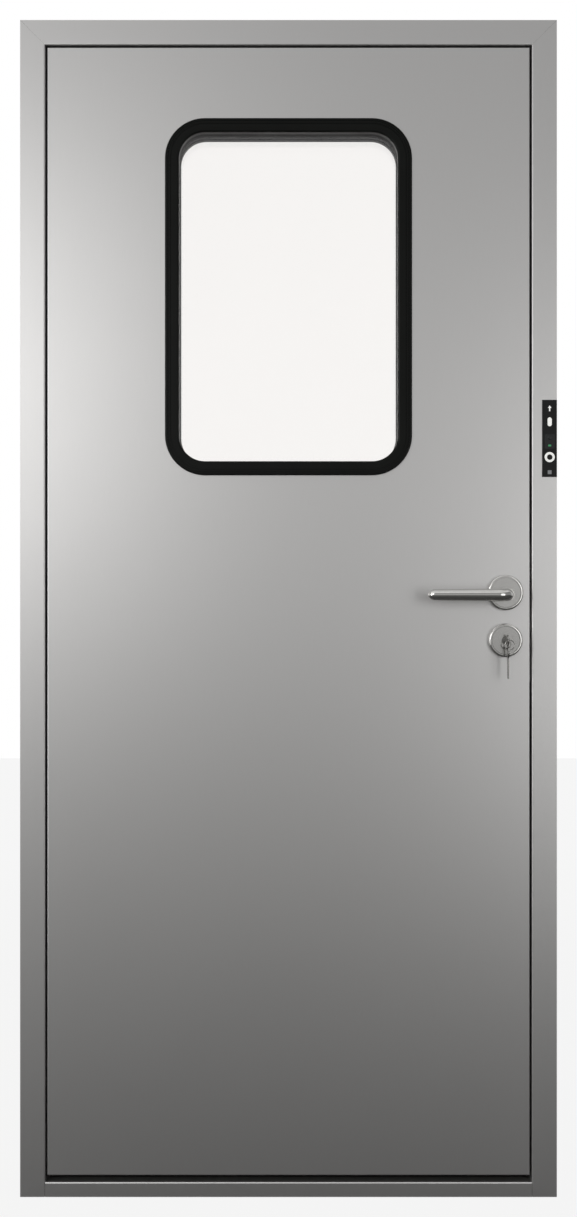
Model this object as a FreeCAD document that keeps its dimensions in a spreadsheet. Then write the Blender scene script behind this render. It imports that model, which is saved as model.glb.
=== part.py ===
"""Glazed sealed door set: a stainless frame that clamps a wall panel, and one gasketed leaf hung in it.

Millimetres. +X runs from the hinges to the lock, +Y from the lever's front side to the hinges' side, +Z up.
The origin is the centre of the sill's underside, half way through the frame's depth.
"""

import FreeCAD, Part

import math
import os
import re

import Sketcher
from FreeCAD import Placement, Rotation, Vector

SIZES = (
    # frame
    ("frame_width", 912, "over both jambs"),
    ("frame_height", 2000, "floor to the top of the head"),
    ("frame_depth", 54, "front flange to rear flange, outside"),
    ("frame_sheet", 2, "sheet that the frame is folded from"),
    ("frame_bend", 2.5, "outside radius of the fold at the reveal"),
    ("face_width", 42.4, "front flange of the jambs and head"),
    ("rebate_width", 15, "step that takes the lip of the leaf"),
    ("rebate_depth", 22, "rear face to the bottom of the step"),
    ("sill_height", 25, "upstand of the sill"),
    ("ledge_height", 10, "sill behind its upstand"),
    ("cleat_leg", 60, "leg of a corner cleat"),
    ("cleat_thickness", 3, "plate of a corner cleat"),
    ("fixing_hole_radius", 3.25, "holes that fix the jambs to the wall"),
    ("fixing_setback", 11, "rear face to the fixing holes"),
    ("fixing_start", 200, "floor to the lowest fixing hole"),
    ("fixing_drop", 210, "top of the frame to the highest fixing hole"),
    # leaf
    ("leaf_gap", 3.2, "between the leaf and the frame"),
    ("floor_gap", 11, "between the sill and the leaf"),
    ("leaf_setback", 2, "leaf behind the face of the frame"),
    ("lip_thickness", 15, "rear lip of the leaf, front to back"),
    ("skin_sheet", 1.5, "sheet of the two skins"),
    ("skin_bend", 2, "outside radius of the folds of the skins"),
    ("channel_width", 30, "edge channels of the leaf"),
    ("channel_sheet", 1.2, "sheet of the edge channels"),
    ("seal_clearance", 0.4, "frame to the seal on the lip"),
    ("seal_margin", 1, "edge of the lip to its seal"),
    ("seal_base", 3.2, "flat strip of the seal"),
    ("bulb_inset", 3.5, "edge of the strip to its bulb"),
    ("wiper_thickness", 8, "strip under the leaf"),
    ("wiper_setback", 18, "front skin to the strip under the leaf"),
    ("wiper_clearance", 0.8, "sill to the strip under the leaf"),
    # window
    ("window_width", 372, "clear width between the gaskets"),
    ("window_height", 559, "clear height between the gaskets"),
    ("window_corner", 44, "clear corner radius"),
    ("window_drop", 190.5, "top of the frame to the clear opening"),
    ("gasket_flange", 24, "flange of a gasket on the skin"),
    ("gasket_proud", 4, "thickness of that flange"),
    ("gasket_rim", 2.6, "rounding of the outer edge of the flange"),
    ("gasket_throat", 3.6, "rounding of its inner edge"),
    ("gasket_bead", 9, "outer edge of the flange to the far side of its locking strip"),
    ("gasket_groove", 1.4, "grooves on both sides of that strip"),
    ("gasket_groove_depth", 1.2, "the same"),
    ("gasket_lip", 8.5, "inner wall of a gasket"),
    ("liner_sheet", 1.5, "metal liner of the window"),
    ("glass_thickness", 5, "one pane"),
    ("glass_edge", 1.5, "pane to liner"),
    ("glass_setback", 9, "skin to pane"),
    ("spacer_width", 6, "bar between the panes"),
    # lock
    ("backset", 42, "edge of the leaf to the lever and key"),
    ("lever_height", 1027, "floor to the lever's axis"),
    ("lock_centres", 81, "lever to key"),
    ("lock_depth", 16.5, "front skin to the middle of the bolts"),
    ("case_thickness", 16, "lock case outside"),
    ("case_depth", 61, "lock case behind the edge of the leaf"),
    ("case_above", 50, "lever to the top of the case"),
    ("case_below", 40, "key to the bottom of the case"),
    ("case_sheet", 1.5, "plate of the case and its cover"),
    ("forend_width", 22, "plate on the edge of the leaf"),
    ("forend_length", 235, "the same"),
    ("forend_thickness", 2.5, "the same"),
    ("bolt_thickness", 11, "latch and dead bolt, front to back"),
    ("latch_length", 18, "latch, up and down"),
    ("latch_rise", 29, "lever to the middle of the latch"),
    ("latch_throw", 12, "travel of the latch"),
    ("latch_stem", 24.5, "head of the latch inside the lock"),
    ("lever_travel", 40, "degrees that the lever turns"),
    ("bolt_length", 20, "dead bolt, up and down"),
    ("bolt_rise", 27, "key to the middle of the dead bolt"),
    ("bolt_throw", 20, "travel of the dead bolt"),
    ("bolt_body", 58, "dead bolt, end to end"),
    ("slide_clearance", 0.3, "around what slides in the lock"),
    ("running_clearance", 0.06, "around what turns in a bore"),
    ("hub_radius", 11, "hub of the follower"),
    ("collar_radius", 9, "collars of the follower in the case"),
    ("arm_tip", 3, "round end of the follower's arm"),
    ("arm_width", 4, "arm of the follower"),
    ("tail_thickness", 6, "tail of the latch"),
    ("spindle_width", 8, "square spindle"),
    ("screw_radius", 2, "small screws"),
    ("screw_head", 4, "radius of their heads"),
    ("screw_sink", 2, "depth of their heads"),
    # levers and roses
    ("rose_radius", 30, "lever rose"),
    ("rose_height", 9, "lever rose off the skin"),
    ("rose_wall", 1.5, "both kinds of rose"),
    ("rose_rim", 3, "rounded rim of both kinds of rose"),
    ("rose_band", 1.6, "flat band inside that rim"),
    ("rose_recess", 0.6, "face of a rose below its rim"),
    ("rose_base_thickness", 5, "base under a lever rose"),
    ("rose_base_radius", 26, "the same"),
    ("rose_bolt_reach", 19, "lever to a through bolt"),
    ("lever_hole", 22, "hole in the skins under a lever rose"),
    ("lever_collar", 11, "radius of the lever's collar"),
    ("grip_length", 136, "spindle to the end of the grip"),
    ("grip_standoff", 48, "skin to the middle of the grip"),
    ("grip_root", 10.25, "radius of the grip at the bend"),
    ("grip_end", 9.2, "radius of the grip at its nose"),
    ("grip_nose", 12, "length of the round nose"),
    ("grip_flat", 1, "radius of the flat at its very end"),
    ("lever_clearance", 0.6, "neck of the lever to its rose"),
    ("grip_drop", 4, "grip below the spindle"),
    ("bend_radius", 16, "middle of the bend of the lever"),
    ("spring_radius", 15, "flat spring under a lever rose"),
    # cylinder and keys
    ("key_rose_radius", 28.5, "rose round the key"),
    ("key_rose_height", 10, "the same, off the skin"),
    ("barrel_radius", 8.5, "round part of the cylinder's profile"),
    ("barrel_leg", 10, "width of the profile's leg"),
    ("barrel_height", 33, "the whole profile"),
    ("barrel_proud", 4, "cylinder past each skin"),
    ("profile_clearance", 0.5, "cylinder to the holes it passes"),
    ("plug_radius", 6.8, "turning core of the cylinder"),
    ("cam_width", 9.6, "cam, front to back"),
    ("cam_reach", 15.5, "lug of the cam"),
    ("cam_lug", 8, "width of the lug"),
    ("cam_slot", 0.4, "cam to the cylinder beside it"),
    ("key_thickness", 2.2, "a key"),
    ("key_head", 10, "radius of the bow of a key"),
    ("key_blade", 29, "blade of a key, past its bow"),
    ("key_width", 8, "blade of a key"),
    ("key_bite", 1.8, "deepest cut in a blade"),
    ("key_eye", 3.2, "radius of the hole in the bow"),
    ("key_eye_margin", 4.7, "that hole's middle to the end of the bow"),
    ("key_standoff", 5, "key's bow off the plug"),
    ("ring_radius", 8, "key ring to the middle of its wire"),
    ("ring_wire", 0.9, "radius of the wire"),
    ("ring_fall", 14.7, "eye of the key in the lock to eye of the hanging key"),
    ("thumb_length", 32, "thumb turn"),
    ("thumb_thickness", 11, "the same"),
    ("thumb_reach", 22, "thumb turn off its rose"),
    # strike
    ("window_margin", 2, "around the bolts in the frame"),
    ("strike_thickness", 2, "plate behind the reveal"),
    ("strike_width", 22, "the same, front to back"),
    ("strike_length", 186, "the same, up and down"),
    ("strike_reach", 30, "box behind the plate"),
    ("strike_wall", 1.5, "walls of the box"),
    ("keeper_thickness", 3.4, "sliding keeper"),
    ("keeper_length", 13, "the same, along its travel"),
    ("keeper_travel", 8.5, "the same"),
    # hinges
    ("hinge_low", 250, "floor to the lowest hinge"),
    ("hinge_drop", 250, "top of the frame to the highest hinge"),
    ("hinge_outset", 2.25, "edge of the lip to the pins"),
    ("hinge_stand", 0.5, "knuckles off the rear face"),
    ("knuckle_radius", 8, "knuckle"),
    ("hinge_height", 100, "a hinge, both halves"),
    ("hinge_washer", 2, "washer between the knuckles"),
    ("hinge_pin", 4, "radius of a pin"),
    ("wing_thickness", 3, "wing"),
    ("leaf_wing", 46, "pins to the end of the wing on the leaf"),
    ("frame_wing", 27, "pins to the end of the wing on the frame"),
    ("wing_clearance", 0.9, "wing to the other half's knuckle"),
    ("wing_screw_pitch", 60, "screws of one wing"),
    ("wing_screw_length", 14, "the same"),
    # controls on the lock jamb
    ("panel_width", 25, "black control strip"),
    ("panel_height", 131, "the same"),
    ("panel_thickness", 1.5, "the same"),
    ("panel_centre", 1289, "floor to the middle of the strip"),
    ("panel_lap", 2.5, "strip past its box"),
    ("box_depth", 20, "box behind the strip"),
    ("box_wall", 1.6, "walls of that box"),
    ("button_radius", 4.2, "push button"),
    ("button_travel", 1.5, "the same"),
    ("button_proud", 2.2, "the same, off the strip"),
    ("button_below", 32, "middle of the strip to the button"),
    ("ring_outer", 8.6, "white ring round the button"),
    ("ring_proud", 1, "the same, off the strip"),
    ("lamp_width", 7, "white lamp"),
    ("lamp_length", 15, "the same"),
    ("lamp_above", 28, "middle of the strip to the lamp"),
    ("display_width", 17.5, "display window"),
    ("display_height", 24.5, "the same"),
    ("display_below", 5.5, "middle of the strip to the display's middle"),
    ("display_proud", 0.5, "window and lamp off the strip"),
    ("lens_radius", 3.6, "sensor's lens"),
    ("lens_rise", 7, "display's middle to the lens"),
)

LAYOUT = (
    # x of the frame, half of it
    ("half", "frame_width / 2"),
    ("reveal", "half - face_width"),
    ("rebate", "reveal + rebate_width"),
    ("fixing_pitch", "(frame_height - fixing_drop - fixing_start) / 3"),
    # y of the frame
    ("front", "-frame_depth / 2"),
    ("rear", "frame_depth / 2"),
    ("stop", "rear - rebate_depth"),
    # z of the frame
    ("opening_top", "frame_height - face_width"),
    ("rebate_top", "opening_top + rebate_width"),
    # leaf
    ("leaf_half", "reveal - leaf_gap"),
    ("leaf_front", "front + leaf_setback"),
    ("leaf_rear", "rear"),
    ("leaf_bottom", "sill_height + floor_gap"),
    ("leaf_top", "opening_top - leaf_gap"),
    ("lip_front", "leaf_rear - lip_thickness"),
    ("lip_half", "rebate - leaf_gap"),
    ("lip_bottom", "ledge_height + leaf_gap"),
    ("lip_top", "rebate_top - leaf_gap"),
    ("inside_front", "leaf_front + skin_sheet"),
    ("inside_rear", "leaf_rear - skin_sheet"),
    ("edge", "leaf_half - skin_sheet"),
    ("core_half", "edge - channel_width"),
    ("core_bottom", "leaf_bottom + skin_sheet + channel_width"),
    ("core_top", "leaf_top - skin_sheet - channel_width"),
    # window
    ("window_centre", "frame_height - window_drop - window_height / 2"),
    ("liner_outset", "gasket_lip + liner_sheet"),
    ("glass_outset", "gasket_lip - glass_edge"),
    ("glass_front", "leaf_front + glass_setback"),
    ("glass_rear", "leaf_rear - glass_setback"),
    # lock
    ("lever_x", "leaf_half - backset"),
    ("key_z", "lever_height - lock_centres"),
    ("lock_y", "leaf_front + lock_depth"),
    ("case_front", "lock_y - case_thickness / 2"),
    ("case_rear", "lock_y + case_thickness / 2"),
    ("case_back", "edge - case_depth"),
    ("case_bottom", "key_z - case_below"),
    ("case_top", "lever_height + case_above"),
    ("case_middle", "(case_bottom + case_top) / 2"),
    ("latch_z", "lever_height + latch_rise"),
    ("latch_nose", "leaf_half + latch_throw"),
    ("arm_reach", "latch_throw / 2 / sin(lever_travel / 2)"),
    ("arm_x", "lever_x + latch_throw / 2"),
    ("arm_z", "lever_height + arm_reach * cos(lever_travel / 2)"),
    ("bolt_z", "key_z + bolt_rise"),
    ("bolt_end", "edge + forend_thickness - slide_clearance"),
    ("grip_front", "leaf_front - grip_standoff"),
    ("grip_rear", "leaf_rear + grip_standoff"),
    ("grip_z", "lever_height - grip_drop"),
    ("key_face", "leaf_front - key_rose_height - rose_wall"),
    ("bow_y", "key_face - key_standoff - key_head"),
    ("eye_y", "bow_y - key_head + key_eye_margin"),
    ("spare_bow_z", "key_z - ring_fall + key_eye_margin - key_head"),
    # strike
    ("strike_x", "reveal + frame_sheet"),
    ("box_x", "strike_x + strike_thickness"),
    ("window_x", "latch_nose + window_margin"),
    # hinges
    ("hinge_pitch", "(frame_height - hinge_drop - hinge_low) / 2"),
    ("hinge_x", "-(lip_half + hinge_outset)"),
    ("hinge_y", "rear + hinge_stand + knuckle_radius"),
    ("wing_rear", "rear + wing_thickness"),
    ("knuckle_start", "hinge_washer / 2"),
    # controls
    ("panel_x", "half - panel_width / 2"),
    ("panel_front", "front - panel_thickness"),
    ("button_z", "panel_centre - button_below"),
    ("lamp_z", "panel_centre + lamp_above"),
    ("display_z", "panel_centre - display_below"),
    ("lens_z", "display_z + lens_rise"),
)

doc = FreeCAD.newDocument("sealed_door")
sheet = doc.addObject("Spreadsheet::Sheet", "Sizes")
layout = doc.addObject("App::VarSet", "Layout")
HOME = {}
NODES = []


# ---------------------------------------------------------------- sizes, and what reads them


def fill_sheet():
    """The driving sizes: a name, a plain number and a note on each row."""
    for row, (name, number, note) in enumerate(SIZES, start=1):
        sheet.set(f"A{row}", name)
        sheet.set(f"B{row}", str(number))
        sheet.setAlias(f"B{row}", name)
        sheet.set(f"C{row}", note)
        HOME[name] = "Sizes."
    doc.recompute()


def fill_layout():
    """The places that follow from the sizes, each bound to them."""
    for name, text in LAYOUT:
        layout.addProperty("App::PropertyFloat", name, "Layout", "")
        layout.setExpression(name, bound(text))
        HOME[name] = "Layout."
    doc.recompute()


def bound(text):
    """An expression with each size's name led to the object that holds it."""
    return re.sub(r"[a-z_]\w*", lambda word: HOME.get(word.group(), "") + word.group(), text)


def bind(thing, field, text):
    """Ties a property to an expression."""
    thing.setExpression(field, bound(text))


def value(text):
    """What an expression comes to, as a number."""
    return float(layout.evalExpression(bound(text)))


def node(thing, label):
    """Names a finished sub-part, which is written under that name."""
    thing.Label = label
    NODES.append(thing)
    return thing


def about(middle, reach):
    """The two places a distance either side of a middle."""
    return f"{middle} - ({reach})", f"{middle} + ({reach})"


# ---------------------------------------------------------------- primitives and booleans

TURNS = {
    "x": Rotation(Vector(0, 0, 1), Vector(1, 0, 0)),
    "y": Rotation(Vector(0, 0, 1), Vector(0, 1, 0)),
    "z": Rotation(),
}


def stand(thing, axis, at, start):
    """Turns a round primitive to an axis and places it: `at` is its centre on the other two axes."""
    thing.Placement = Placement(Vector(), TURNS[axis])
    across = iter(at)
    for letter in "xyz":
        bind(thing, "Placement.Base." + letter, start if letter == axis else next(across))


def block(name, x, y, z):
    """A box between two places along each axis."""
    box = doc.addObject("Part::Box", name)
    for field, letter, (low, high) in zip(("Length", "Width", "Height"), "xyz", (x, y, z)):
        bind(box, field, f"({high}) - ({low})")
        bind(box, "Placement.Base." + letter, low)
    return box


def rod(name, axis, at, span, radius):
    """A cylinder along an axis, between two places on it."""
    pin = doc.addObject("Part::Cylinder", name)
    stand(pin, axis, at, span[0])
    bind(pin, "Radius", radius)
    bind(pin, "Height", f"({span[1]}) - ({span[0]})")
    return pin


def cone(name, axis, at, span, radii):
    """A cone along an axis, with its radius at the low and the high end."""
    taper = doc.addObject("Part::Cone", name)
    stand(taper, axis, at, span[0])
    bind(taper, "Radius1", radii[0])
    bind(taper, "Radius2", radii[1])
    bind(taper, "Height", f"({span[1]}) - ({span[0]})")
    return taper


def fuse(name, *parts):
    """One solid from solids that touch or overlap."""
    whole = doc.addObject("Part::MultiFuse", name)
    whole.Shapes = list(parts)
    whole.Refine = True
    return whole


def together(name, *parts):
    """Separate solids that are kept as one object."""
    group = doc.addObject("Part::Compound", name)
    group.Links = list(parts)
    return group


def cut(name, base, *tools):
    """A solid less others."""
    less = doc.addObject("Part::Cut", name)
    less.Base = base
    less.Tool = tools[0] if len(tools) == 1 else fuse(name + "_tools", *tools)
    less.Refine = True
    return less


# ---------------------------------------------------------------- outlines


def rectangle(a, b):
    """Corners of a rectangle between two places on each axis of the sketch."""
    return [(a[0], b[0]), (a[1], b[0]), (a[1], b[1]), (a[0], b[1])]


def rounded(a, b, radius):
    """The same with round corners. A third value on a corner makes the next edge an arc of that radius."""
    (left, right), (low, high) = a, b
    return [
        (f"({left}) + ({radius})", low),
        (f"({right}) - ({radius})", low, radius),
        (right, f"({low}) + ({radius})"),
        (right, f"({high}) - ({radius})", radius),
        (f"({right}) - ({radius})", high),
        (f"({left}) + ({radius})", high, radius),
        (left, f"({high}) - ({radius})"),
        (left, f"({low}) + ({radius})", radius),
    ]


def around_window(outset):
    """The outline that lies a given distance outside the clear opening of the window."""
    across = f"(window_width / 2 + {outset})"
    up = f"(window_height / 2 + {outset})"
    return rounded(
        (f"-{across}", across),
        (f"window_centre - {up}", f"window_centre + {up}"),
        f"(window_corner + {outset})",
    )


def arc_between(start, end, radius):
    """The arc from start to end that turns anticlockwise, and its centre."""
    middle = (start + end) / 2
    chord = end - start
    rise = math.sqrt(max(radius**2 - (chord.Length / 2) ** 2, 0))
    inward = Vector(-chord.y, chord.x, 0).normalize()
    centre = middle + inward * rise
    angles = [math.atan2(p.y - centre.y, p.x - centre.x) for p in (start, end)]
    return Part.ArcOfCircle(Part.Circle(centre, Vector(0, 0, 1), radius), *angles)


def tie(sketch, geometry, end, corner):
    """Fixes a point of a sketch at two expressions."""
    for kind, text in zip(("DistanceX", "DistanceY"), corner):
        limit = Sketcher.Constraint(kind, -1, 1, geometry, end, value(text))
        index = sketch.addConstraint(limit)
        sketch.setExpression(f"Constraints[{index}]", bound(text))


def tie_radius(sketch, geometry, radius):
    """Fixes the radius of an arc or a circle at an expression."""
    index = sketch.addConstraint(Sketcher.Constraint("Radius", geometry, value(radius)))
    sketch.setExpression(f"Constraints[{index}]", bound(radius))


def draw(sketch, outline):
    """Draws a closed anticlockwise outline of lines and arcs, or a circle given as centre and radius."""
    if isinstance(outline, tuple):
        centre, radius = outline
        spot = Vector(value(centre[0]), value(centre[1]), 0)
        index = sketch.addGeometry(Part.Circle(spot, Vector(0, 0, 1), value(radius)))
        tie(sketch, index, 3, centre)
        tie_radius(sketch, index, radius)
        return
    spots = [Vector(value(corner[0]), value(corner[1]), 0) for corner in outline]
    edges = []
    for corner, start, end in zip(outline, spots, spots[1:] + spots[:1]):
        curve = Part.LineSegment(start, end)
        if len(corner) == 3:
            curve = arc_between(start, end, value(corner[2]))
        edges.append(sketch.addGeometry(curve))
    for position, corner in enumerate(outline):
        here, before = edges[position], edges[position - 1]
        sketch.addConstraint(Sketcher.Constraint("Coincident", before, 2, here, 1))
        tie(sketch, here, 1, corner)
        if len(corner) == 3:
            tie_radius(sketch, here, corner[2])


# ---------------------------------------------------------------- bodies


def straight(edge, axis):
    """Whether an edge is straight and runs along an axis."""
    direction = edge.Vertexes[-1].Point - edge.Vertexes[0].Point
    along = {"x": direction.x, "y": direction.y, "z": direction.z}[axis]
    return abs(abs(along) - direction.Length) < 1e-6 < direction.Length


def lies(edge, **places):
    """Whether the whole edge is at these places, such as y="leaf_front"."""
    box = edge.BoundBox
    limits = {"x": (box.XMin, box.XMax), "y": (box.YMin, box.YMax), "z": (box.ZMin, box.ZMax)}
    return all(
        abs(limit - value(text)) < 1e-4 for letter, text in places.items() for limit in limits[letter]
    )


class Piece:
    """A PartDesign body whose sketches lie on its own origin planes."""

    def __init__(self, name):
        self.name = name
        self.body = doc.addObject("PartDesign::Body", name)

    def sketch(self, view, level, origin=("0", "0")):
        """A sketch seen along Z, Y or X (views XY, XZ and YZ), at a level on that axis."""
        page = self.body.newObject("Sketcher::SketchObject", self.name + "_sketch")
        plane = next(part for part in self.body.Origin.OriginFeatures if part.Role == view + "_Plane")
        page.AttachmentSupport = [(plane, "")]
        page.MapMode = "FlatFace"
        lift = f"-({level})" if view == "XZ" else level
        for letter, text in zip("xyz", (*origin, lift)):
            bind(page, "AttachmentOffset.Base." + letter, text)
        return page

    def extrude(self, kind, view, span, outlines):
        """A pad or pocket between two places on the axis that the view looks along."""
        start_high = (view == "XZ") == (kind == "PartDesign::Pad")
        page = self.sketch(view, span[1] if start_high else span[0])
        for outline in outlines:
            draw(page, outline)
        feature = self.body.newObject(kind, self.name + "_feature")
        feature.Profile = page
        bind(feature, "Length", f"({span[1]}) - ({span[0]})")
        page.Visibility = False
        return feature

    def pad(self, view, span, *outlines):
        """Adds material."""
        return self.extrude("PartDesign::Pad", view, span, outlines)

    def pocket(self, view, span, *outlines):
        """Takes material away."""
        doc.recompute()
        before = self.body.Shape.Volume
        feature = self.extrude("PartDesign::Pocket", view, span, outlines)
        doc.recompute()
        if self.body.Shape.Volume > before - 1e-3:
            raise RuntimeError(f"a pocket of {self.name} cuts nothing")
        return feature

    def revolve(self, view, level, origin, axis, outline, kind="PartDesign::Revolution"):
        """Turns an outline about an axis through the sketch's origin."""
        page = self.sketch(view, level, origin)
        draw(page, outline)
        feature = self.body.newObject(kind, self.name + "_turned")
        feature.Profile = page
        feature.ReferenceAxis = (page, [axis])
        feature.Angle = 360
        return feature

    def fillet(self, radius, chosen):
        """Rounds the edges that a test picks."""
        doc.recompute()
        base = self.body.Tip
        names = [f"Edge{i}" for i, edge in enumerate(base.Shape.Edges, 1) if chosen(edge)]
        if not names:
            raise RuntimeError(f"no edge of {self.name} to round")
        feature = self.body.newObject("PartDesign::Fillet", self.name + "_fillet")
        feature.Base = (base, names)
        bind(feature, "Radius", radius)
        return feature


# ---------------------------------------------------------------- frame


def frame_section(outer, inner, step):
    """Section of the jambs and head: across the opening, then y. One sheet, folded round the wall panel."""
    return [
        (outer, "front"),
        (outer, "front + frame_sheet"),
        (f"{inner} + frame_sheet", "front + frame_sheet"),
        (f"{inner} + frame_sheet", "stop - frame_sheet"),
        (f"{step} + frame_sheet", "stop - frame_sheet"),
        (f"{step} + frame_sheet", "rear - frame_sheet"),
        (outer, "rear - frame_sheet"),
        (outer, "rear"),
        (step, "rear"),
        (step, "stop"),
        (inner, "stop"),
        (inner, "front"),
    ]


def mitre(side):
    """What the mitre takes off the top of a jamb: all that is above its slope."""
    return [
        (f"{side} * (reveal - frame_sheet)", "opening_top - frame_sheet"),
        (f"{side} * (half + frame_sheet)", "frame_height + frame_sheet"),
        (f"{side} * (reveal - frame_sheet)", "frame_height + frame_sheet"),
    ]


def fixing_heights():
    """The heights of the holes that fix a jamb."""
    return [f"fixing_start + {step} * fixing_pitch" for step in range(4)]


def make_jamb(side):
    """A jamb, folded, mitred and drilled; side is 1 at the lock and -1 at the hinges."""
    jamb = Piece("lock_jamb_body" if side > 0 else "hinge_jamb_body")
    section = frame_section("half", "reveal", "rebate")
    jamb.pad("XY", ("0", "frame_height"), [(f"{side} * ({a})", b) for a, b in section])
    jamb.fillet("frame_bend", lambda edge: lies(edge, x=f"{side} * reveal", y="front"))
    jamb.pocket("XZ", ("front", "rear"), mitre(side))
    wall = ("rebate", "rebate + frame_sheet") if side > 0 else ("-rebate - frame_sheet", "-rebate")
    holes = [(("rear - fixing_setback", z), "fixing_hole_radius") for z in fixing_heights()]
    jamb.pocket("YZ", wall, *holes)
    return jamb


def make_lock_jamb():
    """The lock jamb, with the bolts' windows and the hole behind the control strip."""
    jamb = make_jamb(1)
    latch_y = ("lock_y - bolt_thickness / 2 - window_margin", "stop")
    jamb.pocket("YZ", ("reveal", "window_x"), rectangle(latch_y, latch_window()))
    jamb.pocket("YZ", ("reveal", "strike_x"), rectangle(bolt_window_y(), bolt_window()))
    reach = "(panel_width / 2 - panel_lap)"
    tall = "(panel_height / 2 - panel_lap)"
    across, up = about("panel_x", reach), about("panel_centre", tall)
    jamb.pocket("XZ", ("front", "front + frame_sheet"), rectangle(across, up))
    return node(cut("lock_jamb", jamb.body, *strike_screw_set()), "lock_jamb")


def make_hinge_jamb(screws):
    """The hinge jamb, drilled for the hinge screws."""
    return node(cut("hinge_jamb", make_jamb(-1).body, *screws), "hinge_jamb")


def make_head():
    """The head, with the jambs' section and mitred ends."""
    head = Piece("frame_head")
    section = frame_section("frame_height", "opening_top", "rebate_top")
    outline = [(b, a) for a, b in reversed(section)]
    head.pad("YZ", ("-half", "half"), outline)
    head.fillet("frame_bend", lambda edge: lies(edge, z="opening_top", y="front"))
    for side in (-1, 1):
        corner = [
            (f"{side} * (half + frame_sheet)", "frame_height + frame_sheet"),
            (f"{side} * (reveal - frame_sheet)", "opening_top - frame_sheet"),
            (f"{side} * (half + frame_sheet)", "opening_top - frame_sheet"),
        ]
        head.pocket("XZ", ("front", "rear"), corner)
    node(head.body, "frame_head")


def make_sill():
    """The sill, a hollow stepped section between the jambs."""
    sill = Piece("sill")
    outer = [
        ("front", "0"),
        ("rear", "0"),
        ("rear", "ledge_height"),
        ("stop", "ledge_height"),
        ("stop", "sill_height"),
        ("front", "sill_height"),
    ]
    inner = [
        ("front + frame_sheet", "frame_sheet"),
        ("rear - frame_sheet", "frame_sheet"),
        ("rear - frame_sheet", "ledge_height - frame_sheet"),
        ("stop - frame_sheet", "ledge_height - frame_sheet"),
        ("stop - frame_sheet", "sill_height - frame_sheet"),
        ("front + frame_sheet", "sill_height - frame_sheet"),
    ]
    sill.pad("YZ", ("-rebate", "rebate"), outer, inner)
    sill.fillet("frame_bend", lambda edge: lies(edge, z="sill_height", y="front"))
    for ends in (("-rebate", "-reveal"), ("reveal", "rebate")):
        sill.pocket("XY", ("0", "sill_height"), rectangle(ends, ("front", "stop")))
    node(sill.body, "sill")


def make_cleats():
    """An angle plate inside each top corner, welded across the mitre."""
    cleats = []
    y = ("front + frame_sheet", "stop - frame_sheet")
    for side in (-1, 1):
        cleat = Piece(f"corner_cleat_{len(cleats) + 1}")
        inner, top = "reveal + frame_sheet", "opening_top + frame_sheet"
        outline = [
            (inner, f"{top} - cleat_leg"),
            (f"{inner} + cleat_thickness", f"{top} - cleat_leg"),
            (f"{inner} + cleat_thickness", f"{top} + cleat_thickness"),
            (f"{inner} - cleat_leg", f"{top} + cleat_thickness"),
            (f"{inner} - cleat_leg", top),
            (inner, top),
        ]
        cleat.pad("XZ", y, [(f"{side} * ({a})", b) for a, b in outline])
        cleats.append(cleat.body)
    node(together("corner_cleats", *cleats), "corner_cleats")


# ---------------------------------------------------------------- strike, in the lock jamb


def latch_window():
    """Height of the latch's way through the frame."""
    return (
        "latch_z - latch_length / 2 - window_margin",
        "latch_z + latch_length / 2 + window_margin",
    )


def bolt_window():
    """Height of the dead bolt's way through the frame."""
    return (
        "bolt_z - bolt_length / 2 - window_margin",
        "bolt_z + bolt_length / 2 + window_margin",
    )


def bolt_window_y():
    """Depth of the dead bolt's way through the frame."""
    return (
        "lock_y - bolt_thickness / 2 - window_margin",
        "lock_y + bolt_thickness / 2 + window_margin",
    )


def strike_span():
    """Height of the strike plate."""
    return ("case_middle - strike_length / 2", "case_middle + strike_length / 2")


STRIKE_SCREWS = []


def strike_screw_set():
    """Two countersunk screws through the reveal into the plate, made once."""
    if not STRIKE_SCREWS:
        for sign in ("-", "+"):
            z = f"case_middle {sign} (strike_length / 2 - 2 * screw_head)"
            at, neck = ("lock_y", z), "reveal + screw_sink"
            head = cone("strike_screw_head", "x", at, ("reveal", neck), ("screw_head", "screw_radius"))
            point = "box_x + 3 * screw_radius"
            shank = rod("strike_screw_shank", "x", at, (neck, point), "screw_radius")
            STRIKE_SCREWS.append(fuse("strike_screw", head, shank))
    return STRIKE_SCREWS


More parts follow.
